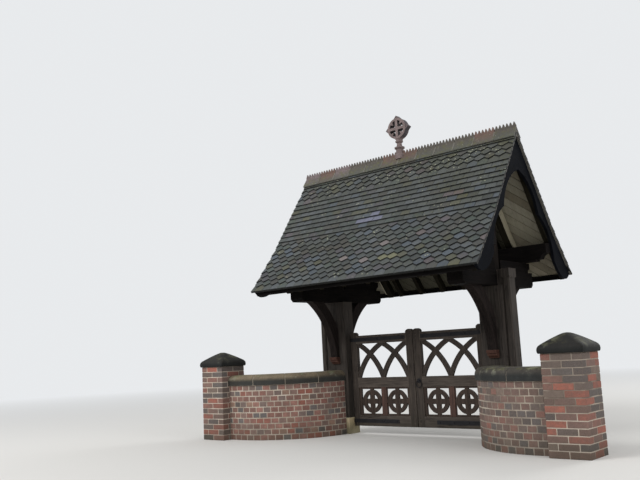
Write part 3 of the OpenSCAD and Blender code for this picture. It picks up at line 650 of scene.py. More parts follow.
barge_outer_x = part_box("right_bargeboards")[1].x
verge_run = 0.012
bed_depth = 0.022
cloak_depth = 0.034
bed_inner, bed_outer = barge_outer_x - 0.02, roof_x - 0.006
cloak_inner, cloak_outer = gable_x + 0.002, roof_x - 0.003
strips = []
for side in (-1, 1):
    for left in (-1, 1):
        bed = sorted((left * bed_inner, left * bed_outer))
        cloak = sorted((left * cloak_inner, left * cloak_outer))
        strips.append(roof_strip(side, *bed, verge_run, top_run(cloak_depth), bed_depth,
                                 cloak_depth + 0.0005))
        strips.append(roof_strip(side, *cloak, verge_run, top_run(tile_depth), cloak_depth,
                                 tile_depth - 0.001))
verges = shape_piece("verge_bedding", *join_parts(strips), verge_finish)
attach(verges, "structure")

tilt_low, tilt_high = 0.02, 0.09
tilt_depth = 0.027
pack_half = gable_x - 0.002
pack_low, pack_high = board_trim + 0.002, 0.06
pack_t = 0.02
strips = [roof_strip(side, -gable_x, gable_x, tilt_low, tilt_high, tilt_depth, tile_depth, 2)
          for side in (-1, 1)]
strips += [roof_strip(side, -pack_half, pack_half, pack_low, pack_high, board_under - 0.0005,
                      board_under + pack_t, 2) for side in (-1, 1)]
tilting = shape_piece("tilting_fillets", *join_parts(strips), plate_finish)
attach(tilting, "structure")


# Ridge tiles
# Twelve angled clay tiles cap the ridge, each with a crest of six pointed teeth made with it.
# They are bedded and jointed in mortar, and several are newer and redder than the rest.

crest_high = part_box("ridge_tiles")[1].z
ridge_count = 12
teeth_each = 6
ridge_len = 2 * roof_x / ridge_count
ridge_wing = 0.150
ridge_t = 0.024
ridge_joint = 0.007
apex_z = on_roof(1, 0, slope_len, 0).z
ridge_top = apex_z + ridge_t / math.cos(pitch_top)
ridge_shade = 0.06
crest_half = 0.011
crest_inset = 0.0015
crest_h = 0.048
crest_base = crest_high - crest_h
tooth_gap = ridge_len / teeth_each
# The older ridge tiles are brown with dirt, the newer ones redder, and two at the left end are pale
old_ridge, red_ridge, pale_ridge = "5d564e", "765a50", "817172"
ridge_colours = [pale_ridge, red_ridge, pale_ridge, old_ridge, old_ridge, red_ridge, red_ridge, old_ridge,
                 old_ridge, old_ridge, red_ridge, old_ridge]

ridge_finish, tree, surface = start_finish("Weathered ridge clay", 0.35)
patch = apply_effect(tree, mottle, Size=6.0)
growth = apply_effect(tree, moss, Amount=0.6, Size=13.0)
edge = apply_effect(tree, worn_edge, Reach=0.005)["Edge"]
low_wing = between(spot_parts(tree)["Z"], ridge_top - 0.02, apex_z - 0.1)
lichen = times(between(specks(spot_of(tree), 22.0), 0.18, 0.1), patch["Broad"])
colour = wash(tint_of(tree), (patch["Broad"], 0.4, "4b4a44"), (patch["Fine"], 0.6, "373531"),
              (low_wing, 0.78, "4d5049"), (growth["Moss"], 0.7, "5c5b38"), (lichen, 0.6, "b1b1a6"),
              (edge, 0.3, "9a8a80"))
end_finish(surface, colour, patch["Fine"], 0.6, 0.85, patch["Fine"], 0.003)


def ridge_piece(low_x, high_x, first_tooth):
    """One ridge tile: two wings with a rounded foot, and its length of crest."""
    fall_y, fall_z = math.cos(pitch_top), math.sin(pitch_top)
    # Half of the section, each point so far down the wing and so far out from its underside
    half = [(down * fall_y + out * fall_z, apex_z - down * fall_z + out * fall_y) for down, out in (
        (ridge_wing / 2, 0.0), (ridge_wing, 0.0), (ridge_wing + 0.004, 0.006), (ridge_wing + 0.004, 0.018),
        (ridge_wing - 0.004, ridge_t), (ridge_wing / 2, ridge_t))]
    outline = [(0.0, apex_z)] + half + [(0.0, ridge_top)] + [(-y, z) for y, z in reversed(half)]
    sides = len(outline)
    wings = skin([[Vector((x, middle_y + y, z)) for y, z in outline] for x in (low_x, high_x)], False)
    for shift in (0, sides):
        wings[1].append([i + shift for i in range(8)])
        wings[1].append([i % sides + shift for i in range(7, sides + 1)])
    low_x, high_x = low_x + crest_inset, high_x - crest_inset
    profile = [(low_x, ridge_top - ridge_t), (low_x, crest_base)]
    for tooth in range(first_tooth, first_tooth + teeth_each):
        for share, rise in ((0.10, 0.0), (0.43, 0.95), (0.5, 1.0), (0.57, 0.95), (0.90, 0.0)):
            x = -roof_x + (tooth + share) * tooth_gap
            profile.append((min(max(x, low_x), high_x), crest_base + rise * (crest_high - crest_base)))
    profile += [(high_x, crest_base), (high_x, ridge_top - ridge_t)]
    count = len(profile)
    sides_of_crest = (middle_y - crest_half, middle_y + crest_half)
    crest = skin([[Vector((x, y, z)) for x, z in profile] for y in sides_of_crest], False)
    first_points = [2 + 5 * tooth for tooth in range(teeth_each)]
    base = [0, 1] + [at + k for at in first_points for k in (0, 4)] + [count - 2, count - 1]
    for shift in (0, count):
        crest[1].extend([at + k + shift for k in range(5)] for at in first_points)
        crest[1].append([k + shift for k in base])
    return join_parts([wings, crest])


corners, panels, tints = [], [], []
draw = random.Random(5)
for number in range(ridge_count):
    low_x = -roof_x + number * ridge_len + (ridge_joint / 2 if number else 0.0)
    high_x = -roof_x + (number + 1) * ridge_len - (ridge_joint / 2 if number < ridge_count - 1 else 0.0)
    tile = ridge_piece(low_x, high_x, number * teeth_each)
    add_part(corners, panels, tile)
    tints += [vary(paint(ridge_colours[number]), draw, ridge_shade)] * len(tile[0])
ridge = shape_piece("ridge_capping", corners, panels, ridge_finish, tints)
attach(ridge, "structure")
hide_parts("ridge_tiles")

joint_half = 0.012
joint_proud = 0.003
joint_low = slope_len - ridge_wing - 0.004
joint_high = slope_len + 0.012
joints = []
for number in range(1, ridge_count):
    middle = -roof_x + number * ridge_len
    for side in (-1, 1):
        joints.append(roof_strip(side, middle - joint_half, middle + joint_half, joint_low, joint_high,
                                 0.001, -ridge_t - joint_proud, 4))
# Mortar fills the space under the ridge tiles at each gable end
plug_wing = ridge_wing - 0.012
fall_y, fall_z = plug_wing * math.cos(pitch_top), plug_wing * math.sin(pitch_top)
triangle = [(0.0, apex_z), (fall_y, apex_z - fall_z), (-fall_y, apex_z - fall_z)]
for left in (-1, 1):
    joints.append(skin([[Vector((left * x, middle_y + y, z)) for y, z in triangle]
                        for x in (roof_x - 0.004, gable_x + 0.002)]))
mortar_joints = shape_piece("ridge_joints", *join_parts(joints), verge_finish)
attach(mortar_joints, "structure")


# Finial
# A pierced square of buff fired clay stands on one corner on a turned neck, in the middle of the ridge.
# It was moulded in one piece with its saddle, and soot and painted shade darken the openings.

finial_disc = 0.057
finial_head_h = 0.375
finial_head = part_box("finial")[1].z - finial_head_h
finial_finish, tree, surface = start_finish("Buff finial clay", 0.3)
patch = apply_effect(tree, mottle, Size=9.0)
edge = apply_effect(tree, worn_edge, Reach=0.012)["Edge"]
parts = spot_parts(tree)
# Soot and painted shade darken the inner faces of the openings
darkening = times(between(off_middle(parts), finial_disc - 0.003, finial_disc - 0.016),
             between(parts["Z"], finial_head, finial_head + 0.03))
colour = wash(paint("8a7a78"), (patch["Broad"], 1.0, "6f615f"), (patch["Fine"], 0.45, "4a4140"),
              (edge, 0.35, "a3948f"), (darkening, 0.8, "35343a"))
end_finish(surface, colour, patch["Fine"], 0.7, 0.9, plus(patch["Fine"], patch["Pits"]), 0.004)
dress(finial_finish, 0.006, "finial")


# Bargeboards and fascias
# Thick boards cut in two hollows and a rounded foot close each gable under the tile edge.
# Narrow fascias run along the rafter feet, and all of them are stained nearly black.

barge_finish = oak_finish("Blue black bargeboards", "0c0d10", "191b20", "2d3037", through_gate, mean_pitch,
                          shine=0.015)
dress(barge_finish, 0.005, "left_bargeboards", "right_bargeboards")
dress(oak_finish("Black fascias", "090808", "151312", "2a2624", along_ridge, shine=0.02), 0.004, "fascias")


# Wing walls
# A curved brick wall joins each post to its pier, built of headers so that it can bend.
# The bricks are red and blue grey, laid in cream lime mortar struck back a little.

brick_gap = 0.0125
brick_ease = 0.0045
brick_rough = 0.0014
brick_deep = 0.07
brick_proud, brick_sunk = 0.0015, 0.001
brick_shade = 0.14
mortar_back = 0.004
mortar_ease = 0.002
left_bricks = {"a0675b": 8, "93594e": 8, "ab7467": 6, "885a50": 5, "a95745": 3, "7a6763": 4, "68696b": 3,
               "555b60": 2, "42464a": 1, "94736a": 5, "a27d69": 2}
right_bricks = {"785850": 7, "6c524b": 7, "826259": 5, "60544f": 5, "5c5350": 5, "505254": 5, "3f4244": 3,
                "8c5b50": 4, "7b6b60": 4, "9a5547": 1}

brick_finish, tree, surface = start_finish("Red and blue bricks", 0.2)
patch = apply_effect(tree, mottle, Size=4.0)
grit = apply_effect(tree, mottle, Size=17.0, Shift=7.0)
# Broad patches of soot darken the bricks here and there
darkening = apply_effect(tree, mottle, Size=1.3, Shift=11.0)
edge = apply_effect(tree, worn_edge, Reach=0.006)["Edge"]
damp = apply_effect(tree, rising_damp, Ground=0.0, Reach=0.35)["Damp"]
colour = wash(tint_of(tree), (grit["Broad"], 0.42, "4b403c"), (grit["Fine"], 0.42, "b29d92"),
              (patch["Fine"], 0.3, "3c3834"), (darkening["Broad"], 0.26, "504d46"), (edge, 0.3, "a08a7b"),
              (damp, 0.5, "3d3c2f"))
end_finish(surface, colour, grit["Fine"], 0.75, 0.95, plus(grit["Fine"], grit["Pits"]), 0.0045)


def block_corners(low, high, ease, draw=None, rough=0.0):
    """The points of a brick with eased arrises, each a little out of true by the draw."""
    corners = []
    for pick in range(8):
        far = [(pick >> (2 - axis)) & 1 for axis in range(3)]
        for keep in range(3):
            point = [high[axis] if far[axis] else low[axis] for axis in range(3)]
            for axis in range(3):
                if axis != keep:
                    point[axis] += -ease if far[axis] else ease
                if rough:
                    point[axis] += draw.uniform(-rough, rough)
            corners.append(point)
    return corners


def corner_number(far, keep):
    return 3 * (4 * far[0] + 2 * far[1] + far[2]) + keep


block_panels = [[3 * pick, 3 * pick + 1, 3 * pick + 2] for pick in range(8)]
way_round = ((0, 0), (0, 1), (1, 1), (1, 0))
for keep in range(3):
    others = [axis for axis in range(3) if axis != keep]
    block_panels += [[corner_number({keep: end, others[0]: a, others[1]: b}, keep) for a, b in way_round]
                     for end in (0, 1)]
    block_panels += [[corner_number({keep: end, others[0]: a, others[1]: b}, others[face])
                      for face, end in way_round] for a in (0, 1) for b in (0, 1)]

wall_low, wall_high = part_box("right_wing_wall")
wing_straight = 0.2
wing_r = 1.21
wing_t = 0.33
curve_x = wall_high.x - wing_straight
curve_y = wall_low.y + wing_r
wing_h = wall_high.z
wing_courses = 10
wing_course_h = wing_h / wing_courses
header_w = 0.121
post_front = wall_high.y


def wing_end(radius):
    """Length of a wing wall face of this radius, from the pier to the post."""
    return wing_straight + radius * math.acos((curve_y - post_front) / radius)


def on_wing(side, along, radius, sink, height):
    """A point so far along a wing wall face from its pier, and so far behind that face."""
    turn = max(along - wing_straight, 0.0) / radius
    x = curve_x + max(wing_straight - along, 0.0) - (radius - sink) * math.sin(turn)
    return Vector((side * x, min(curve_y - (radius - sink) * math.cos(turn), post_front - 0.0005), height))


def wing_loft(side, outline, low_share, high_share, outer_r, inner_r, steps):
    """Sweeps an outline of width share and height along part of a wing wall."""
    rings = []
    for step in range(steps + 1):
        share = low_share + (high_share - low_share) * step / steps
        outer, inner = (on_wing(side, share * wing_end(radius), radius, 0.0, 0.0)
                        for radius in (outer_r, inner_r))
        rings.append([outer.lerp(inner, across) + Vector((0.0, 0.0, height)) for across, height in outline])
    return skin(rings)


for side, name, bricks in ((-1, "left", left_bricks), (1, "right", right_bricks)):
    draw = random.Random(41 + side)
    shades = [paint(code) for code in bricks]
    weights = list(bricks.values())
    corners, panels, tints = [], [], []
    for face_r, inward in ((wing_r, 1), (wing_r - wing_t, -1)):
        length = wing_end(face_r)
        count = round(length / header_w)
        step = length / count
        for course in range(wing_courses):
            edges = bond_edges(0.0, step, count, length, course)
            for low_edge, high_edge in zip(edges, edges[1:]):
                low = [low_edge + brick_gap / 2, draw.uniform(-brick_proud, brick_sunk),
                       course * wing_course_h + (brick_gap / 2 if course else 0.0)]
                high = [high_edge - brick_gap / 2, brick_deep, (course + 1) * wing_course_h - brick_gap / 2]
                points = block_corners(low, high, brick_ease, draw, brick_rough)
                shade = vary(draw.choices(shades, weights)[0], draw, brick_shade)
                # The bricks near the post are darker
                darker = 1 - 0.3 * max(0.0, low_edge / length - 0.55)
                tints += [[part * darker for part in shade[:3]] + [1.0]] * len(points)
                points = [on_wing(side, along, face_r, inward * max(sink, 0.0), max(z, 0.0))
                          for along, sink, z in points]
                add_part(corners, panels, (points, block_panels))
    wall = shape_piece(name + "_wing_bricks", corners, panels, brick_finish, tints)
    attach(wall, "structure")
    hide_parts(name + "_wing_wall")
    core = wing_loft(side, [(0, 0), (0, wing_h), (1, wing_h), (1, 0)], 0, 1,
                     wing_r - mortar_back, wing_r - wing_t + mortar_back, 36)
    core = shape_piece(name + "_wing_mortar", *core, mortar_finish)
    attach(core, "structure")


# Copings
# Long dark stones with rounded tops cover the wing walls and throw the rain clear of the bricks.
# They are bedded in lime mortar, jointed with it, and moss has settled on them.

def stone_finish(name, dark, light, shaded_side_dark, shaded_side_light, tan_share, moss_share):
    """Dark stone with moss on top, a browner, washed top towards the left, and painted shade on its sides.
    """
    finish, tree, surface = start_finish(name, 0.15)
    patch = apply_effect(tree, mottle, Size=3.5)
    edge = apply_effect(tree, worn_edge, Reach=0.015)["Edge"]
    growth = apply_effect(tree, moss, Amount=0.52, Size=7.0)
    upward = between(facing_up(tree), -0.05, 0.5)
    washed = times(between(spot_parts(tree)["X"], 0.5, -1.0), tan_share)
    top, tan, foot = (wash(paint(first), (patch["Broad"], 1.0, second)) for first, second in (
        (dark, light), ("97886f", "6f6353"), (shaded_side_dark, shaded_side_light)))
    crust = times(between(growth["Clump"], 0.55, 0.63), upward)
    # Painted shade: the faces that do not face up take the darker side colour
    colour = cover(upward, foot, cover(washed, top, tan))
    colour = wash(colour, (patch["Fine"], 0.55, "292825"), (growth["Moss"], moss_share, "5f5e3c"),
                  (crust, 0.6 * moss_share, "8f9080"), (edge, 0.15, "827d74"))
    end_finish(surface, colour, patch["Fine"], 0.6, 0.85, plus(patch["Fine"], patch["Pits"]), 0.004)
    return finish


coping_finish = stone_finish("Dark coping stone", "423f3b", "57524b", "282b2c", "383b3b", 0.9, 0.7)
coping_low, coping_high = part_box("right_coping")
coping_h = coping_high.z - coping_low.z
coping_lip = 0.022
coping_w = wing_t + 2 * coping_lip
coping_round = 0.096
coping_joint = 0.010
coping_stones = 4
# The mortar of a joint takes up this share of the width and of the height of the stones
bed_across, bed_up = 0.975, 0.965
outline = [(0.004, 0.0), (0.0, 0.006)]
for turn in range(0, 91, 10):
    flat, rise = math.cos(math.radians(turn)), math.sin(math.radians(turn))
    outline.append((coping_round * (1 - flat), coping_h - coping_round * (1 - rise)))
outline += [(coping_w - across, height) for across, height in reversed(outline)]
outline = [(across / coping_w, wing_h + height) for across, height in outline]
bed = [(0.5 + (across - 0.5) * bed_across, wing_h + (height - wing_h) * bed_up)
       for across, height in outline]
bedding = [(across, wing_h + rise) for across, rise in (
    (0.045, -0.002), (0.045, 0.006), (0.955, 0.006), (0.955, -0.002))]
for side, name in ((-1, "left"), (1, "right")):
    outer_r, inner_r = wing_r + coping_lip, wing_r - wing_t - coping_lip
    gap = coping_joint / wing_end(outer_r) / 2
    stones = []
    for number in range(coping_stones):
        low_share = number / coping_stones + gap * (number > 0)
        high_share = (number + 1) / coping_stones - gap * (number < coping_stones - 1)
        stones.append(wing_loft(side, outline, low_share, high_share, outer_r, inner_r, 10))
    coping = shape_piece(name + "_coping_stones", *join_parts(stones), coping_finish)
    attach(coping, "structure")
    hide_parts(name + "_coping")
    joints = [wing_loft(side, bed, number / coping_stones - 3 * gap, number / coping_stones + 3 * gap,
                        outer_r, inner_r, 2) for number in range(1, coping_stones)]
    joints.append(wing_loft(side, bedding, 0, 1, outer_r, inner_r, 30))
    joints = shape_piece(name + "_coping_mortar", *join_parts(joints), mortar_finish)
    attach(joints, "structure")


# Brick piers
# Each pier is two bricks square, fourteen courses high, with the bond turned at each course.
# The bricks are the same as in the wing walls, in the same mortar.

pier_courses = 14
brick_w = 0.1125
pier_gap = 0.0095
redder = {"b05c48": 6, "9a4f3f": 7, "454447": 6}
shades = [paint(code) for code in [*right_bricks, *redder]]
weights = [*right_bricks.values(), *redder.values()]
for name, seed in (("left", 73), ("right", 79)):
    draw = random.Random(seed)
    low_corner, high_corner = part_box(name + "_pier")
    centre = (low_corner + high_corner) / 2
    half = (high_corner.x - low_corner.x) / 2
    inner = half - brick_w
    gap = pier_gap / 2
    course_h = high_corner.z / pier_courses
    plan = [(-half, -gap, -half, -inner), (gap, half, -half, -inner), (-half, -gap, inner, half),
            (gap, half, inner, half), (-half, -inner, pier_gap - inner, inner - pier_gap),
            (inner, half, pier_gap - inner, inner - pier_gap)]
    corners, panels, tints = [], [], []
    for course in range(pier_courses):
        bottom = course * course_h + (gap if course else 0.0)
        top = (course + 1) * course_h - gap
        for x0, x1, y0, y1 in plan:
            points = block_corners((x0, y0, bottom), (x1, y1, top), brick_ease, draw, brick_rough)
            if course % 2:
                points = [[y, -x, z] for x, y, z in points]
            points = [Vector((centre.x + min(max(x, -half), half), centre.y + min(max(y, -half), half),
                              max(z, 0.0))) for x, y, z in points]
            add_part(corners, panels, (points, block_panels))
            tints += [vary(draw.choices(shades, weights)[0], draw, brick_shade)] * len(points)
    pier = shape_piece(name + "_pier_bricks", corners, panels, brick_finish, tints)
    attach(pier, "structure")
    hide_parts(name + "_pier")
    back = Vector((half - mortar_back, half - mortar_back, 0.0))
    foot = Vector((centre.x, centre.y, 0.0))
    head = Vector((centre.x, centre.y, high_corner.z))
    block = block_corners(foot - back, head + back, mortar_ease)
    core = shape_piece(name + "_pier_mortar", block, block_panels, mortar_finish)
    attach(core, "structure")


# Pier caps
# A single dark stone with a domed, four sided top and soft arrises covers each pier.
# It is bedded in lime mortar, which shows as a thin pale line under the stone.

cap_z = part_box("pier_caps")[0].z
pier_low, pier_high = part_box("right_pier")
cap_reach = 0.03
cap_half = (pier_high.x - pier_low.x) / 2 + cap_reach
bed_half = cap_half - 0.034
bed_low, bed_high = cap_z - 0.006, cap_z + 0.004
least_bend = 0.02
corner_steps = 6
# Each ring of the cap from the bed up: its share of the width, its height, and the rounding of its corners
cap_rings = [(0.955, 0.0, 0.05), (0.982, 0.008, 0.06), (1.0, 0.030, 0.07), (1.0, 0.048, 0.08),
             (0.988, 0.066, 0.09), (0.955, 0.084, 0.11), (0.90, 0.100, 0.13), (0.80, 0.120, 0.15),
             (0.67, 0.145, 0.18), (0.53, 0.170, 0.21), (0.39, 0.194, 0.25), (0.26, 0.212, 0.35),
             (0.14, 0.222, 0.5), (0.05, 0.2245, 1.0)]
caps, beds = [], []
for name in ("left", "right"):
    low_corner, high_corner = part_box(name + "_pier")
    centre = (low_corner + high_corner) / 2
    rings = []
    for size, height, rounding in cap_rings:
        reach = cap_half * size
        bend = min(reach, cap_half * (rounding + least_bend))
        ring = []
        for quarter in range(4):
            way = Matrix.Rotation(math.radians(90 * quarter), 2) @ Vector((1, 1)) * (reach - bend)
            for step in range(corner_steps):
                angle = math.radians(90 * quarter + 90 * step / (corner_steps - 1))
                ring.append(Vector((centre.x + way.x + bend * math.cos(angle),
                                    centre.y + way.y + bend * math.sin(angle), cap_z + height)))
        rings.append(ring)
    caps.append(skin(rings))
    low = (centre.x - bed_half, centre.y - bed_half, bed_low)
    high = (centre.x + bed_half, centre.y + bed_half, bed_high)
    beds.append((block_corners(low, high, mortar_ease), block_panels))
cap_finish = stone_finish("Black cap stone", "222120", "31302d", "181a1b", "272929", 0.0, 0.25)
cap_stones = shape_piece("pier_cap_stones", *join_parts(caps), cap_finish)
cap_stones.data.shade_smooth()
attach(cap_stones, "structure")
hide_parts("pier_caps")
cap_beds = shape_piece("pier_cap_mortar", *join_parts(beds), mortar_finish)
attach(cap_beds, "structure")


# Gates
# Two framed oak leaves with rounded stile heads hang between the posts.
# Curved bars cross in the upper panel and pierced wheels fill the lower one, all pegged together.

stile_finish = oak_finish("Dark oak stiles", "302b28", "524a43", "776c62", upright, damp_to=0.3)
rail_finish = oak_finish("Weathered oak rails", "3a3430", "625952", "877c72", along_ridge, damp_to=0.25)
arch_finish = oak_finish("Weathered oak bars", "2e2926", "4f4741", "70655c", upright, turn=0.3, split=0.3)
wheel_finish = oak_finish("Brown oak wheels", "2e2622", "50443d", "6c6056", upright, split=0.2, damp_to=0.3)
muntin_finish = oak_finish("Red oak muntins", "382d29", "644b43", "7a6458", upright, split=0.3, damp_to=0.3)
dress(stile_finish, 0.006, "left_leaf_stiles", "right_leaf_stiles")
dress(rail_finish, 0.005, "left_leaf_rails", "right_leaf_rails")
dress(arch_finish, 0.006, "left_leaf_arches", "right_leaf_arches")

# The pierced wheels are cut from flat boards, with chamfers round every opening
leaf_low, leaf_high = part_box("right_leaf_stiles")
panel_low, panel_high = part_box("right_leaf_wheels")
leaf_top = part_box("right_leaf_rails")[1].z
leaf_y = (panel_low.y + panel_high.y) / 2
panel_x = (panel_low.x + panel_high.x) / 2
panel_z = (panel_low.z + panel_high.z) / 2
half_w = (panel_high.x - panel_low.x) / 2
half_h = (panel_high.z - panel_low.z) / 2
muntin_half = 0.045
muntin_lap = 0.002
frame_side = 0.040
frame_edge = 0.030
wheel_half_t = 0.020
wheel_r = 0.176
rim_w = 0.060
arm_half = 0.038
neck_half = 0.029
chamfer = 0.005
light_half = (half_w - muntin_half - frame_side) / 2
light_x = muntin_half + light_half


def draw_side(start, end, steps):
    return [(start[0] + (end[0] - start[0]) * i / steps, start[1] + (end[1] - start[1]) * i / steps)
            for i in range(steps)]


def draw_arc(radius, start, end, steps):
    turns = [start + (end - start) * i / steps for i in range(steps)]
    return [(radius * math.cos(turn), radius * math.sin(turn)) for turn in turns]


def soften(outline):
    """Rounds the corners of an opening a little."""
    around = zip(outline[-1:] + outline[:-1], outline, outline[1:] + outline[:1])
    return [tuple(0.25 * last[k] + 0.5 * here[k] + 0.25 * following[k] for k in (0, 1))
            for last, here, following in around]


def wheel_cells(reach_out):
    """The openings of a quarter of a wheel, each with the outline of the wood round it."""
    inner_r = wheel_r - rim_w
    middle_r = wheel_r - rim_w / 2
    quarter = math.pi / 2
    flat = math.asin(arm_half / inner_r)
    end = inner_r * math.cos(flat)
    inside = draw_side((arm_half, arm_half), (end, arm_half), 6) + draw_arc(inner_r, flat, quarter - flat, 9)
    inside += draw_side((arm_half, end), (arm_half, arm_half), 6)
    sector = draw_side((0, 0), (middle_r, 0), 6) + draw_arc(middle_r, 0, quarter, 9)
    sector += draw_side((0, middle_r), (0, 0), 6)
    flat = math.asin(neck_half / wheel_r)
    foot = wheel_r * math.cos(flat)
    tall = half_h - frame_edge
    outside = draw_side((foot, neck_half), (light_half, neck_half), 2)
    outside += draw_side((light_half, neck_half), (light_half, tall), 5)
    outside += draw_side((light_half, tall), (neck_half, tall), 5)
    outside += draw_side((neck_half, tall), (neck_half, foot), 2)
    outside += draw_arc(wheel_r, quarter - flat, flat, 9)
    corner = draw_side((middle_r, 0), (reach_out, 0), 2) + draw_side((reach_out, 0), (reach_out, half_h), 5)
    corner += draw_side((reach_out, half_h), (0, half_h), 5) + draw_side((0, half_h), (0, middle_r), 2)
    corner += draw_arc(middle_r, quarter, 0, 9)
    return [(soften(inside), sector), (outside, corner)]


def pierce(opening, wood, side, middle_x, across, up):
    """A part of a board round one opening, with its chamfers, front and back."""
    count = len(opening)
    middle = [sum(point[k] for point in opening) / count for k in (0, 1)]
    wider = []
    for point in opening:
        away = [point[k] - middle[k] for k in (0, 1)]
        grown = 1 + chamfer / math.hypot(*away)
        wider.append((middle[0] + away[0] * grown, middle[1] + away[1] * grown))
    rings = [(wood, -wheel_half_t), (wider, -wheel_half_t), (opening, chamfer - wheel_half_t),
             (opening, wheel_half_t - chamfer), (wider, wheel_half_t), (wood, wheel_half_t)]
    corners, panels = skin([[Vector((side * (middle_x + across * x), leaf_y + depth, panel_z + up * z))
                             for x, z in ring] for ring, depth in rings], capped=False)
    for i in range(count):
        j = (i + 1) % count
        for k, rim in ((0, half_w - light_x), (1, half_h)):
            if abs(wood[i][k] - rim) < 1e-6 and abs(wood[j][k] - rim) < 1e-6:
                panels.append([i, j, 5 * count + j, 5 * count + i])
    return corners, panels


def studs(side, places, stand_off, radius, rise):
    """Domed heads on the front and back of a leaf, at places across and up it."""
    parts = []
    for x, z in places:
        for face_y, way in ((leaf_low.y, -1), (leaf_high.y, 1)):
            rings = []
            for size, out in ((1.0, 0.0), (0.95, 0.4), (0.7, 0.8), (0.3, 1.0)):
                y = face_y + way * (stand_off + rise * out)
                rings.append([Vector((side * x + size * flat, y, z + size * up))
                              for flat, up in draw_arc(radius, 0, math.tau, 10)])
            parts.append(skin(rings))
    return join_parts(parts)


peg_r, peg_rise = 0.0085, 0.0025
peg_rows = [leaf_low.z + 0.05, leaf_low.z + 0.11, panel_high.z + 0.04, panel_high.z + 0.11, leaf_top - 0.09,
            leaf_top - 0.04]
peg_places = [(x, z) for x in (leaf_low.x + 0.045, leaf_high.x - 0.04) for z in peg_rows]
for side, name in ((-1, "left"), (1, "right")):
    cells = []
    for light in (-1, 1):
        for across in (-1, 1):
            for up in (-1, 1):
                reach_out = half_w - light_x if light == across else light_x
                cells += [pierce(opening, wood, side, panel_x + light * light_x, across, up)
                          for opening, wood in wheel_cells(reach_out)]
    wheels = shape_piece(name + "_wheels", *join_parts(cells), wheel_finish, weld=True)
    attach(wheels, name + "_leaf")
    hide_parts(name + "_leaf_wheels")
    ends = sorted(side * (panel_x + way * (muntin_half + muntin_lap)) for way in (-1, 1))
    block = block_corners((ends[0], panel_low.y, panel_low.z), (ends[1], panel_high.y, panel_high.z), 0.006)
    muntin = shape_piece(name + "_muntin", block, block_panels, muntin_finish)
    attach(muntin, name + "_leaf")
    pegs = shape_piece(name + "_pegs", *studs(side, peg_places, 0.0, peg_r, peg_rise), arch_finish)
    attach(pegs, name + "_leaf")


# Ironwork
# Long forged straps with knuckles hang the leaves on hooks driven into the posts.
# The iron is painted black and dull, with domed bolt heads and a ring latch.

iron_finish, tree, surface = start_finish("Black iron", 0.3)
surface.inputs["Metallic"].default_value = 0.3
patch = apply_effect(tree, mottle, Size=12.0)
edge = apply_effect(tree, worn_edge, Reach=0.004)["Edge"]
colour = wash(paint("121418"), (patch["Broad"], 1.0, "1c1e22"), (patch["Fine"], 0.15, "40302a"),
              (edge, 0.4, "505257"))
end_finish(surface, colour, patch["Fine"], 0.5, 0.7, patch["Fine"], 0.001)
dress(iron_finish, 0.0012, "hinge_hooks", "left_leaf_straps", "right_leaf_straps", "right_leaf_latch")

strap_t = 0.005
bolt_r, bolt_rise = 0.0125, 0.007
low_strap_z = (leaf_low.z + panel_low.z) / 2
high_strap_z = (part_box("right_leaf_arches")[1].z + leaf_top) / 2
bolt_places = [(x, low_strap_z) for x in (0.38, 0.62, 0.86, 1.13)]
bolt_places += [(x, high_strap_z) for x in (0.19, 0.42, 0.66, 0.90, 1.13)]
for side, name in ((-1, "left"), (1, "right")):
    bolts = shape_piece(name + "_bolts", *studs(side, bolt_places, strap_t, bolt_r, bolt_rise), iron_finish)
    bolts.data.shade_smooth()
    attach(bolts, name + "_leaf")


# Floor, light and camera
# A pale studio floor and an even overcast light show the gateway as it stands.
# The camera stands low in front of the gateway, to the right of it.

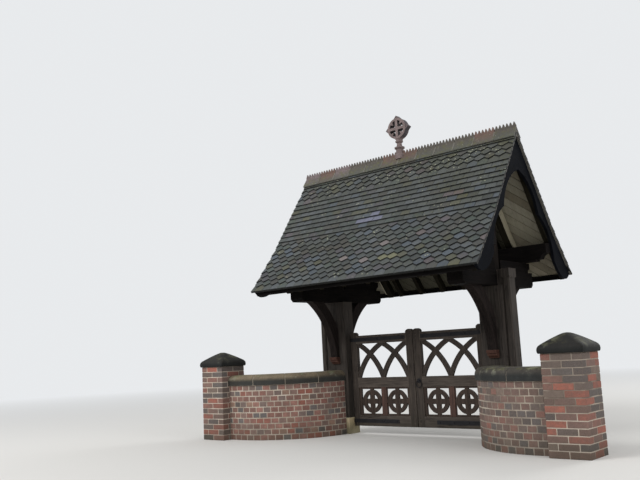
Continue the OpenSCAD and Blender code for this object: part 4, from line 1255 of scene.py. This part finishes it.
floor_reach = 60.0
pale_sky = (0.94, 0.96, 0.98, 1.0)
sky_shown = 0.86
sky_light = 0.66
fade_near, fade_far = 5.0, 26.0
floor_mesh = bpy.data.meshes.new("floor")
floor_corners = [(x * floor_reach, y * floor_reach, 0) for x, y in ((-1, -1), (1, -1), (1, 1), (-1, 1))]
floor_mesh.from_pydata(floor_corners, [], [[0, 1, 2, 3]])
floor = bpy.data.objects.new("floor", floor_mesh)
bpy.context.scene.collection.objects.link(floor)
floor_finish, tree, surface = start_finish("Pale floor", 0.1)
surface.inputs["Base Color"].default_value = paint("d4d2ce")
surface.inputs["Roughness"].default_value = 0.9
rays = place_node(tree, "LightPath").outputs
away = place_node(tree, "VectorMath", {0: spot_of(tree)}, operation="LENGTH").outputs["Value"]
far = times(between(away, fade_near, fade_far), rays["Is Camera Ray"])
haze = place_node(tree, "Emission", {"Color": pale_sky, "Strength": sky_shown}).outputs[0]
mixed = place_node(tree, "MixShader", {0: far, 1: surface.outputs[0], 2: haze}).outputs[0]
feed(tree.nodes["Material Output"].inputs["Surface"], mixed)
floor_mesh.materials.append(floor_finish)

world = bpy.data.worlds.new("Overcast sky")
bpy.context.scene.world = world
world.use_nodes = True
tree = world.node_tree
sky = tree.nodes["Background"]
rays = place_node(tree, "LightPath").outputs
seen = plus(plus(rays["Is Camera Ray"], rays["Is Glossy Ray"]), rays["Is Transmission Ray"])
sky.inputs["Color"].default_value = pale_sky
feed(sky.inputs["Strength"], between(seen, 0.0, 1.0, sky_light, sky_shown))

gateway_middle = Vector((0.0, 0.0, 1.5))
for name, place, size, power in (("front_light", (-6.0, -14.0, 12.0), 9.0, 1700.0),
                                 ("back_light", (5.0, 14.0, 11.0), 9.0, 900.0),
                                 ("right_light", (14.0, -3.0, 8.0), 8.0, 450.0)):
    lamp = bpy.data.lights.new(name, "AREA")
    lamp.shape = "DISK"
    lamp.size = size
    lamp.energy = power
    holder = bpy.data.objects.new(name, lamp)
    holder.location = place
    holder.rotation_euler = (gateway_middle - Vector(place)).to_track_quat("-Z", "Y").to_euler()
    bpy.context.scene.collection.objects.link(holder)

# The eye is in metres from the origin, and the focal length in dots of a view 640 dots wide
eye = (6.425, -9.454, 1.249)
turn_left, tilt_up, roll = 0.711257, 0.152245, -0.049864
view_width = 640
focus = 748.122
lens = bpy.data.cameras.new("camera")
lens.sensor_width = 36.0
lens.lens = lens.sensor_width * focus / view_width
camera = bpy.data.objects.new("camera", lens)
camera.matrix_world = (Matrix.Translation(eye) @ Matrix.Rotation(turn_left, 4, "Z")
                       @ Matrix.Rotation(math.pi / 2 + tilt_up, 4, "X") @ Matrix.Rotation(roll, 4, "Z"))
bpy.context.scene.collection.objects.link(camera)
bpy.context.scene.camera = camera
bpy.context.scene.view_settings.view_transform = "Standard"
